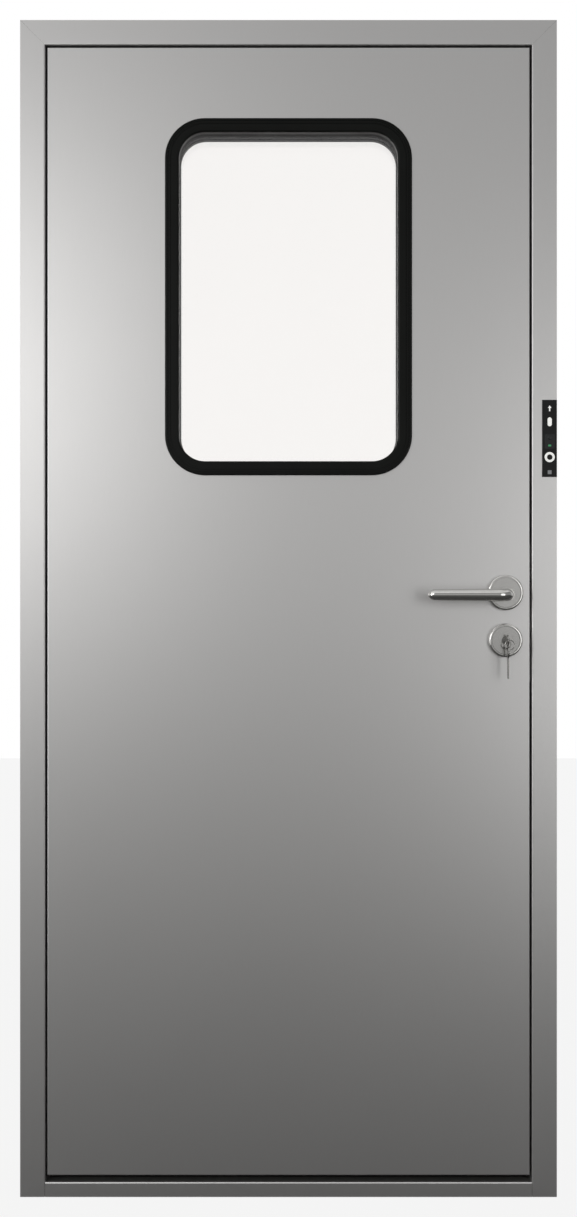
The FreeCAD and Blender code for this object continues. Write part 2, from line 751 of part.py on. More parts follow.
def make_strike():
    """The plate behind the reveal, the box behind it, its screws and the sliding keeper."""
    y = ("stop - frame_sheet - strike_width", "stop - frame_sheet")
    plate = Piece("strike_plate_body")
    plate.pad("YZ", ("strike_x", "box_x"), rectangle(y, strike_span()))
    latch_y = ("lock_y - bolt_thickness / 2 - window_margin", "stop - frame_sheet")
    plate.pocket("YZ", ("strike_x", "box_x"), rectangle(latch_y, latch_window()))
    plate.pocket("YZ", ("strike_x", "box_x"), rectangle(bolt_window_y(), bolt_window()))
    node(cut("strike_plate", plate.body, *strike_screw_set()), "strike_plate")
    node(together("strike_screws", *strike_screw_set()), "strike_screws")

    bottom = "bolt_z - bolt_length / 2 - window_margin - strike_wall"
    top = "latch_z + latch_length / 2 + window_margin + strike_wall"
    low, high = "lock_y - bolt_thickness / 2 - window_margin - strike_wall", "stop - frame_sheet"
    box = Piece("strike_box")
    box.pad("XZ", (low, high), rectangle(("box_x", "box_x + strike_reach"), (bottom, top)))
    hollow_y = (f"{low} + strike_wall", f"{high} - strike_wall")
    hollow_z = (f"{bottom} + strike_wall", f"{top} - strike_wall")
    box.pocket("YZ", ("box_x", "box_x + strike_reach - strike_wall"), rectangle(hollow_y, hollow_z))
    box.pocket("XZ", (hollow_y[1], high), rectangle(("box_x", "window_x"), latch_window()))
    node(box.body, "strike_box")

    keeper_x = "window_x + slide_clearance"
    keeper = Piece("strike_keeper")
    face = f"{hollow_y[1]} - slide_clearance"
    keeper.pad(
        "XZ",
        (f"{face} - keeper_thickness", face),
        rectangle(
            (keeper_x, f"{keeper_x} + keeper_length"),
            ("latch_z - latch_length / 2 - 1", "latch_z + latch_length / 2 + 1"),
        ),
    )
    node(keeper.body, "strike_keeper")


# ---------------------------------------------------------------- controls on the lock jamb


def make_controls():
    """A black strip on the outer edge of the lock jamb, its box, lamp, display and push button."""
    reach, tall = "(panel_width / 2 - panel_lap)", "(panel_height / 2 - panel_lap)"
    across, up = about("panel_x", reach), about("panel_centre", tall)
    box = Piece("control_box")
    box.pad("XZ", ("front", "front + box_depth"), rectangle(across, up))
    inside = (f"{across[0]} + box_wall", f"{across[1]} - box_wall")
    inside_up = (f"{up[0]} + box_wall", f"{up[1]} - box_wall")
    box.pocket("XZ", ("front", "front + box_depth - box_wall"), rectangle(inside, inside_up))
    node(box.body, "control_box")

    strip = Piece("control_fascia")
    whole = rectangle(about("panel_x", "panel_width / 2"), about("panel_centre", "panel_height / 2"))
    strip.pad("XZ", ("panel_front", "front"), whole)
    strip.fillet("panel_thickness / 3", lambda edge: lies(edge, y="panel_front"))
    hole = (("panel_x", "button_z"), "button_radius + slide_clearance")
    strip.pocket("XZ", ("panel_front", "front"), hole)
    node(strip.body, "control_fascia")

    ring = Piece("button_ring")
    outer = (("panel_x", "button_z"), "ring_outer")
    ring.pad("XZ", ("panel_front - ring_proud", "panel_front"), outer, hole)
    ring.fillet("ring_proud / 2", lambda edge: lies(edge, y="panel_front - ring_proud"))
    node(ring.body, "button_ring")

    button = Piece("control_button")
    cap = (("panel_x", "button_z"), "button_radius")
    button.pad("XZ", ("panel_front - button_proud", "front + button_travel"), cap)
    button.fillet("button_radius / 5", lambda edge: lies(edge, y="panel_front - button_proud"))
    node(button.body, "control_button")

    lamp = Piece("status_lamp")
    across, up = about("panel_x", "lamp_width / 2"), about("lamp_z", "lamp_length / 2")
    oval = rounded(across, up, "lamp_width * 0.49")
    lamp.pad("XZ", ("panel_front - display_proud", "panel_front"), oval)
    node(lamp.body, "status_lamp")

    display = Piece("display_window")
    across, up = about("panel_x", "display_width / 2"), about("display_z", "display_height / 2")
    window = rounded(across, up, "display_proud * 4")
    display.pad("XZ", ("panel_front - display_proud", "panel_front"), window)
    node(display.body, "display_window")

    lens = Piece("sensor_lens")
    face = "panel_front - display_proud"
    lens.pad("XZ", (f"{face} - lens_radius / 3", face), (("panel_x", "lens_z"), "lens_radius"))
    lens.fillet("lens_radius / 4", lambda edge: lies(edge, y=f"{face} - lens_radius / 3"))
    node(lens.body, "sensor_lens")


# ---------------------------------------------------------------- hinges


def hinge_heights():
    """The heights of the three hinges' middles."""
    return [f"(hinge_low + {step} * hinge_pitch)" for step in range(3)]


def wing_screws(x, count):
    """Countersunk screws of one kind of wing on every hinge, in from the rear."""
    screws = []
    for middle in hinge_heights():
        for position in range(count):
            z = f"{middle} + wing_screw_pitch * {position / (count - 1) - 0.5}"
            neck, point = "wing_rear - screw_sink", "wing_rear - wing_screw_length"
            radii = ("screw_radius", "screw_head")
            head = cone("wing_screw_head", "y", (x, z), (neck, "wing_rear"), radii)
            shank = rod("wing_screw_shank", "y", (x, z), (point, neck), "screw_radius")
            screws.append(fuse("wing_screw", head, shank))
    return screws


def make_hinge_halves(name, side, screws):
    """One wing with its knuckle on each hinge; side is 1 on the leaf, above, and -1 on the frame, below."""
    halves = []
    tall = "hinge_height / 2"
    for middle in hinge_heights():
        near = "knuckle_radius + wing_clearance"
        if side > 0:
            plate = (f"hinge_x + {near}", "hinge_x + leaf_wing")
            tab = ("hinge_x", f"hinge_x + {near}")
            own = (f"{middle} + knuckle_start", f"{middle} + {tall}")
            bore = "hinge_pin + running_clearance"
        else:
            plate = ("hinge_x - frame_wing", f"hinge_x - {near}")
            tab = (f"hinge_x - {near}", "hinge_x")
            own = (f"{middle} - {tall}", f"{middle} - knuckle_start")
            bore = "hinge_pin"
        half = Piece("hinge_half")
        y = ("rear", "wing_rear")
        half.pad("XZ", y, rectangle(plate, (f"{middle} - {tall}", f"{middle} + {tall}")))
        inner = tab[side > 0]
        half.fillet("2 * wing_thickness", lambda edge: straight(edge, "y") and not lies(edge, x=inner))
        half.pad("XZ", y, rectangle(tab, own))
        half.pad("XY", own, (("hinge_x", "hinge_y"), "knuckle_radius"))
        half.pocket("XY", own, (("hinge_x", "hinge_y"), bore))
        halves.append(half.body)
    return node(cut(name, together(name + "_group", *halves), *screws), name)


def make_hinges():
    """Three lift-off hinges on the rear: wings, pins, washers and screws."""
    leaf_screws = wing_screws("hinge_x + leaf_wing - 12", 3)
    frame_screws = wing_screws("hinge_x - frame_wing + 9", 3)
    make_hinge_halves("hinge_leaf_wings", 1, leaf_screws)
    make_hinge_halves("hinge_frame_wings", -1, frame_screws)
    node(together("hinge_leaf_screws", *leaf_screws), "hinge_leaf_screws")
    node(together("hinge_frame_screws", *frame_screws), "hinge_frame_screws")
    pins, washers = [], []
    at = ("hinge_x", "hinge_y")
    for middle in hinge_heights():
        span = (f"{middle} - hinge_height / 2", f"{middle} + hinge_height / 2 - hinge_washer")
        pin = Piece("hinge_pin_body")
        pin.pad("XY", span, (at, "hinge_pin"))
        pin.fillet("hinge_pin / 3", lambda edge: lies(edge, z=span[1]))
        pins.append(pin.body)
        gap = (f"{middle} - knuckle_start", f"{middle} + knuckle_start - slide_clearance")
        washer = Piece("hinge_washer_body")
        washer.pad("XY", gap, (at, "knuckle_radius - hinge_stand"), (at, "hinge_pin"))
        washers.append(washer.body)
    node(together("hinge_pins", *pins), "hinge_pins")
    node(together("hinge_washers", *washers), "hinge_washers")
    return leaf_screws, frame_screws


# ---------------------------------------------------------------- leaf


def leaf_openings(name):
    """What passes through the leaf at the lock: the lever's hole and the cylinder's profile."""
    through = ("leaf_front - rose_wall", "leaf_rear + rose_wall")
    lever = rod(name + "_lever_hole", "y", ("lever_x", "lever_height"), through, "lever_hole")
    return [lever, barrel(name + "_barrel_hole", through, "profile_clearance")]


def make_front_skin():
    """Front tray: a sheet with its four edges folded back."""
    skin = Piece("front_skin_body")
    whole = rectangle(("-leaf_half", "leaf_half"), ("leaf_bottom", "leaf_top"))
    inside = rectangle(
        ("-leaf_half + skin_sheet", "leaf_half - skin_sheet"),
        ("leaf_bottom + skin_sheet", "leaf_top - skin_sheet"),
    )
    skin.pad("XZ", ("leaf_front", "lip_front"), whole)
    skin.fillet("skin_bend", lambda edge: lies(edge, y="leaf_front"))
    skin.pocket("XZ", ("inside_front", "lip_front"), inside)
    skin.pocket("XZ", ("leaf_front", "inside_front"), around_window("liner_outset"))
    forend = ("lock_y - forend_width / 2", "lock_y + forend_width / 2")
    tall = ("case_middle - forend_length / 2", "case_middle + forend_length / 2")
    skin.pocket("YZ", ("edge", "leaf_half"), rectangle(forend, tall))
    node(cut("front_skin", skin.body, *leaf_openings("front_skin")), "front_skin")


def make_rear_skin(screws):
    """Rear tray: wider than the front one, and folded forwards and in again to make the lip."""
    skin = Piece("rear_skin_body")
    whole = rectangle(("-lip_half", "lip_half"), ("lip_bottom", "lip_top"))
    inside = rectangle(
        ("-lip_half + skin_sheet", "lip_half - skin_sheet"),
        ("lip_bottom + skin_sheet", "lip_top - skin_sheet"),
    )
    mouth = rectangle(("-edge", "edge"), ("leaf_bottom + skin_sheet", "leaf_top - skin_sheet"))
    skin.pad("XZ", ("lip_front", "leaf_rear"), whole)
    skin.fillet("skin_bend", lambda edge: lies(edge, y="leaf_rear"))
    skin.pocket("XZ", ("lip_front", "lip_front + skin_sheet"), mouth)
    skin.pocket("XZ", ("lip_front + skin_sheet", "inside_rear"), inside)
    skin.pocket("XZ", ("inside_rear", "leaf_rear"), around_window("liner_outset"))
    node(cut("rear_skin", skin.body, *leaf_openings("rear_skin"), *screws), "rear_skin")


def channel_section(outer, inner):
    """Section of an edge channel: across, then y. Its web is outside and its mouth looks at the core."""
    sheet_in = "channel_sheet" if outer.startswith("-") else "-channel_sheet"
    return [
        (outer, "inside_front"),
        (outer, "inside_rear"),
        (inner, "inside_rear"),
        (inner, "inside_rear - channel_sheet"),
        (f"{outer} + {sheet_in}", "inside_rear - channel_sheet"),
        (f"{outer} + {sheet_in}", "inside_front + channel_sheet"),
        (inner, "inside_front + channel_sheet"),
        (inner, "inside_front"),
    ]


def make_channels(screws):
    """The four channels inside the edges of the leaf."""
    z = ("leaf_bottom + skin_sheet", "leaf_top - skin_sheet")
    hinge = Piece("hinge_stile_body")
    hinge.pad("XY", z, channel_section("-edge", "-core_half"))
    node(cut("hinge_stile", hinge.body, *screws), "hinge_stile")
    lock = Piece("lock_stile_body")
    lock.pad("XY", z, channel_section("edge", "core_half"))
    case_y = ("case_front - slide_clearance", "case_rear + slide_clearance")
    case_z = ("case_bottom - slide_clearance", "case_top + slide_clearance")
    lock.pocket("YZ", ("edge - channel_sheet", "edge"), rectangle(case_y, case_z))
    node(cut("lock_stile", lock.body, *lock_screw_set(), *leaf_openings("lock_stile")), "lock_stile")
    for name, outer, inner in (
        ("bottom_rail", z[0], "core_bottom"),
        ("top_rail", z[1], "core_top"),
    ):
        web = "channel_sheet" if name == "bottom_rail" else "-channel_sheet"
        rail = Piece(name)
        section = [
            ("inside_front", outer),
            ("inside_rear", outer),
            ("inside_rear", inner),
            ("inside_rear - channel_sheet", inner),
            ("inside_rear - channel_sheet", f"{outer} + {web}"),
            ("inside_front + channel_sheet", f"{outer} + {web}"),
            ("inside_front + channel_sheet", inner),
            ("inside_front", inner),
        ]
        rail.pad("YZ", ("-core_half", "core_half"), section)
        node(rail.body, name)


def make_core():
    """Mineral wool board between the skins, cut away for the window and the lock."""
    core = Piece("leaf_core_body")
    whole = rectangle(("-core_half", "core_half"), ("core_bottom", "core_top"))
    core.pad("XZ", ("inside_front", "inside_rear"), whole)
    core.pocket("XZ", ("inside_front", "inside_rear"), around_window("liner_outset"))
    case = block(
        "core_lock_space", ("case_back", "edge"), ("case_front", "case_rear"), ("case_bottom", "case_top")
    )
    node(cut("leaf_core", core.body, case, *leaf_openings("core")), "leaf_core")


def make_seals():
    """The seal on the front of the lip, with its bulb, and the strip under the leaf."""
    seal = Piece("leaf_seal")

    def ring(inset):
        outer = rectangle(
            (f"-(lip_half - seal_margin - {inset})", f"lip_half - seal_margin - {inset}"),
            (f"lip_bottom + seal_margin + {inset}", f"lip_top - seal_margin - {inset}"),
        )
        inner = rectangle(
            (f"-(leaf_half + seal_margin + {inset})", f"leaf_half + seal_margin + {inset}"),
            (f"leaf_bottom - seal_margin - {inset}", f"leaf_top + seal_margin + {inset}"),
        )
        return outer, inner

    seal.pad("XZ", ("lip_front - seal_base", "lip_front"), *ring("0"))
    seal.pad("XZ", ("stop + seal_clearance", "lip_front - seal_base"), *ring("bulb_inset"))
    node(seal.body, "leaf_seal")
    wiper_y = ("leaf_front + wiper_setback", "leaf_front + wiper_setback + wiper_thickness")
    strip = Piece("bottom_seal")
    outline = [
        (wiper_y[0], "leaf_bottom"),
        (f"{wiper_y[0]} + wiper_thickness / 3", "sill_height + wiper_clearance"),
        (f"{wiper_y[0]} + wiper_thickness * 2 / 3", "sill_height + wiper_clearance"),
        (wiper_y[1], "leaf_bottom"),
    ]
    strip.pad("YZ", ("-leaf_half + skin_bend", "leaf_half - skin_bend"), outline)
    node(strip.body, "bottom_seal")


# ---------------------------------------------------------------- window


def on_outline(edge, face, outset):
    """True for an edge at depth `face` that runs round the window, `outset` from its clear opening."""
    side = f"window_width / 2 + {outset}"
    top = f"window_centre + window_height / 2 + {outset}"
    turned = abs(getattr(edge.Curve, "Radius", 0) - value(f"window_corner + {outset}")) < 0.01
    return lies(edge, y=face) and (
        turned
        or lies(edge, x=side)
        or lies(edge, x=f"-({side})")
        or lies(edge, z=top)
        or lies(edge, z=f"2 * window_centre - ({top})")
    )


def make_gasket(name, flange, lip):
    """A glazing gasket: a flange on the skin, grooved beside its locking strip, and a wall to the pane."""
    gasket = Piece(name)
    gasket.pad("XZ", flange, around_window("gasket_flange"))
    gasket.pad("XZ", lip, around_window("gasket_lip"))
    front = name.startswith("front")
    whole = (flange[0], lip[1]) if front else (lip[0], flange[1])
    gasket.pocket("XZ", whole, around_window("0"))
    face = flange[0] if front else flange[1]
    gasket.fillet("gasket_rim", lambda edge: on_outline(edge, face, "gasket_flange"))
    gasket.fillet("gasket_throat", lambda edge: on_outline(edge, face, "0"))
    floor = f"{face} {'+' if front else '-'} gasket_groove_depth"
    depth = (face, floor) if front else (floor, face)
    for inset in ("gasket_bead / 2", "gasket_bead"):
        edges = (f"gasket_flange - {inset}", f"gasket_flange - {inset} - gasket_groove")
        gasket.pocket("XZ", depth, *[around_window(outset) for outset in edges])
    node(gasket.body, name)


def make_window():
    """Liner, gaskets, two panes and the spacer between them."""
    liner = Piece("window_liner")
    liner.pad(
        "XZ", ("leaf_front", "leaf_rear"), around_window("liner_outset"), around_window("gasket_lip")
    )
    node(liner.body, "window_liner")
    make_gasket(
        "front_glazing_gasket", ("leaf_front - gasket_proud", "leaf_front"), ("leaf_front", "glass_front")
    )
    make_gasket(
        "rear_glazing_gasket", ("leaf_rear", "leaf_rear + gasket_proud"), ("glass_rear", "leaf_rear")
    )
    for name, span in (
        ("front_glass", ("glass_front", "glass_front + glass_thickness")),
        ("rear_glass", ("glass_rear - glass_thickness", "glass_rear")),
    ):
        pane = Piece(name)
        pane.pad("XZ", span, around_window("glass_outset"))
        node(pane.body, name)
    spacer = Piece("glass_spacer")
    between = ("glass_front + glass_thickness", "glass_rear - glass_thickness")
    spacer.pad("XZ", between, around_window("glass_outset"), around_window("(glass_outset - spacer_width)"))
    node(spacer.body, "glass_spacer")


# ---------------------------------------------------------------- lock


def barrel(name, span, grow="0"):
    """The profile of the cylinder: a round barrel with a leg below it."""
    round_part = rod(name + "_round", "y", ("lever_x", "key_z"), span, f"barrel_radius + {grow}")
    foot = f"key_z + barrel_radius - barrel_height + barrel_leg / 2"
    leg = block(
        name + "_leg",
        (f"lever_x - barrel_leg / 2 - {grow}", f"lever_x + barrel_leg / 2 + {grow}"),
        span,
        (foot, "key_z"),
    )
    toe = rod(name + "_toe", "y", ("lever_x", foot), span, f"barrel_leg / 2 + {grow}")
    return fuse(name, round_part, leg, toe)


LOCK_SCREWS = []


def lock_screw_set():
    """Two screws of the forend and the long one that holds the cylinder, made once."""
    if not LOCK_SCREWS:
        face = "edge + forend_thickness"
        ends = [
            (f"case_middle {sign} (forend_length / 2 - 3 * screw_head)", "edge - channel_width / 2")
            for sign in ("-", "+")
        ]
        foot = "key_z + barrel_radius - barrel_height + barrel_leg / 2"
        for z, point in (*ends, (foot, "lever_x")):
            at, neck = ("lock_y", z), f"{face} - screw_sink"
            head = cone("lock_screw_head", "x", at, (neck, face), ("screw_radius", "screw_head"))
            shank = rod("lock_screw_shank", "x", at, (point, neck), "screw_radius")
            LOCK_SCREWS.append(fuse("lock_screw", head, shank))
    return LOCK_SCREWS


def rose_bolt_rods(name, span, radius):
    """The two through bolts of the lever roses, or their holes."""
    places = about("lever_x", "rose_bolt_reach")
    return [rod(name, "y", (place, "lever_height"), span, radius) for place in places]


def make_lock_case():
    """The case, its cover and the forend on the edge of the leaf."""
    case = Piece("lock_case_body")
    z = ("case_bottom", "case_top")
    case.pad("XZ", ("case_front", "case_rear - case_sheet"), rectangle(("case_back", "edge"), z))
    inside = rectangle(
        ("case_back + case_sheet", "edge"), ("case_bottom + case_sheet", "case_top - case_sheet")
    )
    case.pocket("XZ", ("case_front + case_sheet", "case_rear - case_sheet"), inside)
    collar = "collar_radius + running_clearance"
    holes = [
        rod("case_collar_hole", "y", ("lever_x", "lever_height"), ("case_front", "case_rear"), collar),
        barrel("case_barrel_hole", ("case_front", "case_rear"), "profile_clearance"),
        *rose_bolt_rods("case_bolt_hole", ("case_front", "case_rear"), "screw_radius + slide_clearance"),
    ]
    node(cut("lock_case", case.body, *holes), "lock_case")
    plate = block("lock_cover_plate", ("case_back", "edge"), ("case_rear - case_sheet", "case_rear"), z)
    node(cut("lock_cover", plate, *holes), "lock_cover")

    forend = Piece("lock_forend_body")
    y = ("lock_y - forend_width / 2", "lock_y + forend_width / 2")
    tall = ("case_middle - forend_length / 2", "case_middle + forend_length / 2")
    span = ("edge", "edge + forend_thickness")
    forend.pad("YZ", span, rectangle(y, tall))
    wide = "(bolt_thickness / 2 + slide_clearance)"
    mouth_y = (f"lock_y - {wide}", f"lock_y + {wide}")
    for middle, length in (("latch_z", "latch_length"), ("bolt_z", "bolt_length")):
        reach = f"({length} / 2 + slide_clearance)"
        forend.pocket("YZ", span, rectangle(mouth_y, (f"{middle} - {reach}", f"{middle} + {reach}")))
    node(cut("lock_forend", forend.body, *lock_screw_set()), "lock_forend")
    node(together("lock_screws", *lock_screw_set()), "lock_screws")


def make_follower():
    """The hub that the spindle turns, with the arm that draws the latch."""
    follower = Piece("follower")
    at = ("lever_x", "lever_height")
    inner = ("case_front + case_sheet + slide_clearance", "case_rear - case_sheet - slide_clearance")
    follower.pad("XZ", inner, (at, "hub_radius"))
    follower.pad("XZ", ("case_front", "case_rear"), (at, "collar_radius"))
    side_x = "arm_width / 2 * cos(lever_travel / 2)"
    side_z = "arm_width / 2 * sin(lever_travel / 2)"
    arm = [
        (f"lever_x - {side_x}", f"lever_height + {side_z}"),
        (f"lever_x + {side_x}", f"lever_height - {side_z}"),
        (f"arm_x + {side_x}", f"arm_z - {side_z}"),
        (f"arm_x - {side_x}", f"arm_z + {side_z}"),
    ]
    thick = ("lock_y - bolt_thickness / 4", "lock_y + bolt_thickness / 4")
    follower.pad("XZ", thick, arm)
    follower.pad("XZ", thick, (("arm_x", "arm_z"), "arm_tip"))
    follower.pocket("XZ", ("case_front", "case_rear"), square_hole())
    node(follower.body, "follower")


def make_bolts():
    """The bevelled latch with its hooked tail, and the dead bolt."""
    latch = Piece("latch_bolt")
    near, far = "lock_y - bolt_thickness / 2", "lock_y + bolt_thickness / 2"
    stem = "edge - latch_stem"
    top_view = [
        (stem, near),
        ("edge + forend_thickness", near),
        ("latch_nose", f"{far} - bolt_thickness / 5"),
        ("latch_nose", far),
        (stem, far),
    ]
    latch.pad("XY", ("latch_z - latch_length / 2", "latch_z + latch_length / 2"), top_view)
    hook_face = "arm_x - arm_tip - slide_clearance"
    under = "lever_height + arm_reach + arm_tip + slide_clearance"
    side_view = [
        (f"{hook_face} - tail_thickness", "arm_z - slide_clearance"),
        (hook_face, "arm_z - slide_clearance"),
        (hook_face, under),
        (stem, under),
        (stem, f"{under} + tail_thickness"),
        (f"{hook_face} - tail_thickness", f"{under} + tail_thickness"),
    ]
    latch.pad("XZ", ("lock_y - bolt_thickness / 4", "lock_y + bolt_thickness / 4"), side_view)
    node(latch.body, "latch_bolt")

    bolt = Piece("dead_bolt")
    profile = rectangle((near, far), ("bolt_z - bolt_length / 2", "bolt_z + bolt_length / 2"))
    bolt.pad("YZ", ("bolt_end - bolt_body", "bolt_end"), profile)
    bolt.fillet("bolt_thickness / 12", lambda edge: lies(edge, x="bolt_end"))
    node(bolt.body, "dead_bolt")


def make_cylinder():
    """The profile cylinder, its turning plug, the cam on the plug and the thumb turn at the rear."""
    at = ("lever_x", "key_z")
    ends = ("leaf_front - barrel_proud", "leaf_rear + barrel_proud")
    body = barrel("cylinder_barrel", ends)
    bore = rod("cylinder_bore", "y", at, ends, "plug_radius + running_clearance")
    half = "(cam_width / 2 + cam_slot)"
    sweep = "(sqrt(cam_reach ^ 2 + (cam_lug / 2) ^ 2) + cam_slot)"
    slot = block(
        "cylinder_slot",
        ("lever_x - barrel_radius", "lever_x + barrel_radius"),
        (f"lock_y - {half}", f"lock_y + {half}"),
        (f"key_z - {sweep}", "key_z + barrel_radius"),
    )
    node(cut("cylinder_body", body, bore, slot, lock_screw_set()[-1]), "cylinder_body")

    plug = Piece("cylinder_plug")
    plug.pad("XZ", ("key_face", "leaf_rear + key_rose_height + rose_wall"), (at, "plug_radius"))
    wide, tall = "(key_thickness / 2)", "(key_width / 2)"
    plug.pocket(
        "XZ",
        ("key_face", "key_face + key_blade"),
        rectangle((f"lever_x - {wide}", f"lever_x + {wide}"), (f"key_z - {tall}", f"key_z + {tall}")),
    )
    node(plug.body, "cylinder_plug")

    span = ("lock_y - cam_width / 2", "lock_y + cam_width / 2")
    hub = rod("cam_hub", "y", at, span, "barrel_radius")
    lug = block("cam_lug", about("lever_x", "cam_lug / 2"), span, ("key_z - cam_reach", "key_z"))
    whole = fuse("cam_whole", hub, lug)
    hole = rod("cam_hole", "y", at, span, "plug_radius")
    node(cut("cylinder_cam", whole, hole), "cylinder_cam")

    thumb = Piece("thumb_turn")
    start = "leaf_rear + key_rose_height + rose_wall"
    grip = rounded(
        ("lever_x - thumb_thickness / 2", "lever_x + thumb_thickness / 2"),
        ("key_z - thumb_length / 2", "key_z + thumb_length / 2"),
        "thumb_thickness * 0.45",
    )
    thumb.pad("XZ", (start, f"{start} + thumb_reach"), grip)
    thumb.fillet("thumb_thickness / 5", lambda edge: lies(edge, y=f"{start} + thumb_reach"))
    node(thumb.body, "thumb_turn")


def key_outline(along, across):
    """A key's blade. `along` and `across` turn distances from the bow's middle into places."""
    teeth = 5
    pitch = f"(key_blade / {teeth + 1})"
    start = "key_head + key_standoff"
    point = f"{start} + key_blade"
    corners = [(point, "-key_width / 2"), (point, "key_width / 2 - key_bite")]
    for tooth in range(teeth, 0, -1):
        depth = "key_bite" if tooth % 2 else "key_bite / 2"
        corners.append((f"{start} + {pitch} * {tooth + 0.2}", f"key_width / 2 - {depth}"))
        corners.append((f"{start} + {pitch} * {tooth - 0.3}", "key_width / 2"))
    corners.append(("key_head / 2", "key_width / 2"))
    corners.append(("key_head / 2", "-key_width / 2"))
    return [(along(far), across(side)) for far, side in corners]


def make_keys():
    """The key in the lock, the ring through its eye, and the second key that hangs from the ring."""
    x = ("lever_x - key_thickness / 2", "lever_x + key_thickness / 2")
    key = Piece("key")
    blade = key_outline(lambda far: f"bow_y + {far}", lambda side: f"key_z + {side}")
    key.pad("YZ", x, (("bow_y", "key_z"), "key_head"))
    key.pad("YZ", x, blade)
    key.pocket("YZ", x, (("eye_y", "key_z"), "key_eye"))
    node(key.body, "key")

    spare = Piece("spare_key")
    blade = key_outline(lambda far: f"spare_bow_z - ({far})", lambda side: f"eye_y + {side}")
    spare.pad("YZ", x, (("eye_y", "spare_bow_z"), "key_head"))
    spare.pad("YZ", x, [(b, a) for a, b in blade])
    spare.pocket("YZ", x, (("eye_y", "key_z - ring_fall"), "key_eye"))
    node(spare.body, "spare_key")

    ring = doc.addObject("Part::Torus", "key_ring")
    sideways = "sqrt(ring_radius ^ 2 - ring_fall ^ 2 / 4)"
    stand(ring, "y", (f"lever_x + {sideways}", "key_z - ring_fall / 2"), "eye_y")
    bind(ring, "Radius1", "ring_radius")
    bind(ring, "Radius2", "ring_wire")
    node(ring, "key_ring")


# ---------------------------------------------------------------- levers and roses


def proud(side, distance):
    """The place a distance out from a skin; side is -1 in front and 1 at the rear."""
    return f"leaf_front - ({distance})" if side < 0 else f"leaf_rear + ({distance})"


def between(side, near, far):
    """A span between two distances out from a skin, low end first."""
    return (proud(side, far), proud(side, near)) if side < 0 else (proud(side, near), proud(side, far))


def make_rose(name, side, z, radius, height, hole):
    """A turned cap: rounded rim, sunk face, hollow behind, and a hole for what passes through it."""
    rose = Piece(name)
    face = proud(side, f"{height} - rose_recess")
    outline = [
        (hole, face),
        (hole, proud(side, f"{height} - rose_wall")),
        (f"{radius} - rose_wall", proud(side, f"{height} - rose_wall")),
        (f"{radius} - rose_wall", proud(side, "0")),
        (radius, proud(side, "0")),
        (radius, f"{proud(side, height)} - ({side}) * rose_rim", "rose_rim"),
        (f"{radius} - rose_rim", proud(side, height)),
        (f"{radius} - rose_rim - rose_band", proud(side, height)),
        (f"{radius} - rose_rim - rose_band - rose_recess", face),
    ]
    if side > 0:
        rose.revolve("XY", z, ("lever_x", "0"), "V_Axis", outline)
    else:
        flipped = [outline[0], outline[8], outline[7], (*outline[6], "rose_rim"), outline[5][:2]]
        flipped += outline[4:0:-1]
        rose.revolve("XY", z, ("lever_x", "0"), "V_Axis", flipped)
    return rose.body


def square_hole():
    """The spindle's section."""
    return rectangle(about("lever_x", "spindle_width / 2"), about("lever_height", "spindle_width / 2"))


def make_lever(name, side):
    """A lever: a collar in the rose, a bent neck, and a grip that tapers to a round nose."""
    lever = Piece(name)
    root = between(side, "rose_wall", "rose_height + rose_rim")
    lever.pad("XZ", root, (("lever_x", "lever_height"), "lever_collar"))
    grip_y = "grip_front" if side < 0 else "grip_rear"
    start = proud(side, "rose_height + lever_clearance")
    path = lever.sketch("XY", "grip_z")
    bend_y = f"{grip_y} - ({side}) * bend_radius"
    ends = [Vector(value("lever_x"), value(place), 0) for place in (start, bend_y)]
    line = path.addGeometry(Part.LineSegment(*ends))
    tie(path, line, 1, ("lever_x", start))
    tie(path, line, 2, ("lever_x", bend_y))
    centre = Vector(value("lever_x - bend_radius"), value(bend_y), 0)
    circle = Part.Circle(centre, Vector(0, 0, 1), value("bend_radius"))
    quarter = (-math.pi / 2, 0) if side < 0 else (0, math.pi / 2)
    arc = path.addGeometry(Part.ArcOfCircle(circle, *quarter))
    near_end, far_end = (2, 1) if side < 0 else (1, 2)
    path.addConstraint(Sketcher.Constraint("Coincident", line, 2, arc, near_end))
    tie(path, arc, far_end, ("lever_x - bend_radius", grip_y))
    tie_radius(path, arc, "bend_radius")
    profile = lever.sketch("XZ", start)
    draw(profile, (("lever_x", "grip_z"), "grip_root"))
    doc.recompute()
    neck = lever.body.newObject("PartDesign::AdditivePipe", name + "_neck")
    neck.Profile = profile
    neck.Spine = (path, ["Edge1", "Edge2"])
    long = "(grip_length - bend_radius)"
    rise = "(grip_end - grip_flat)"
    nose = f"((grip_nose ^ 2 + {rise} ^ 2) / (2 * {rise}))"
    outline = [
        (f"-{long}", "0"),
        ("0", "0"),
        ("0", "grip_root"),
        (f"-{long} + grip_nose", "grip_end", nose),
        (f"-{long}", "grip_flat"),
    ]
    lever.revolve("XZ", grip_y, ("lever_x - bend_radius", "grip_z"), "H_Axis", outline)
    lever.pocket("XZ", root, square_hole())
    node(lever.body, name)


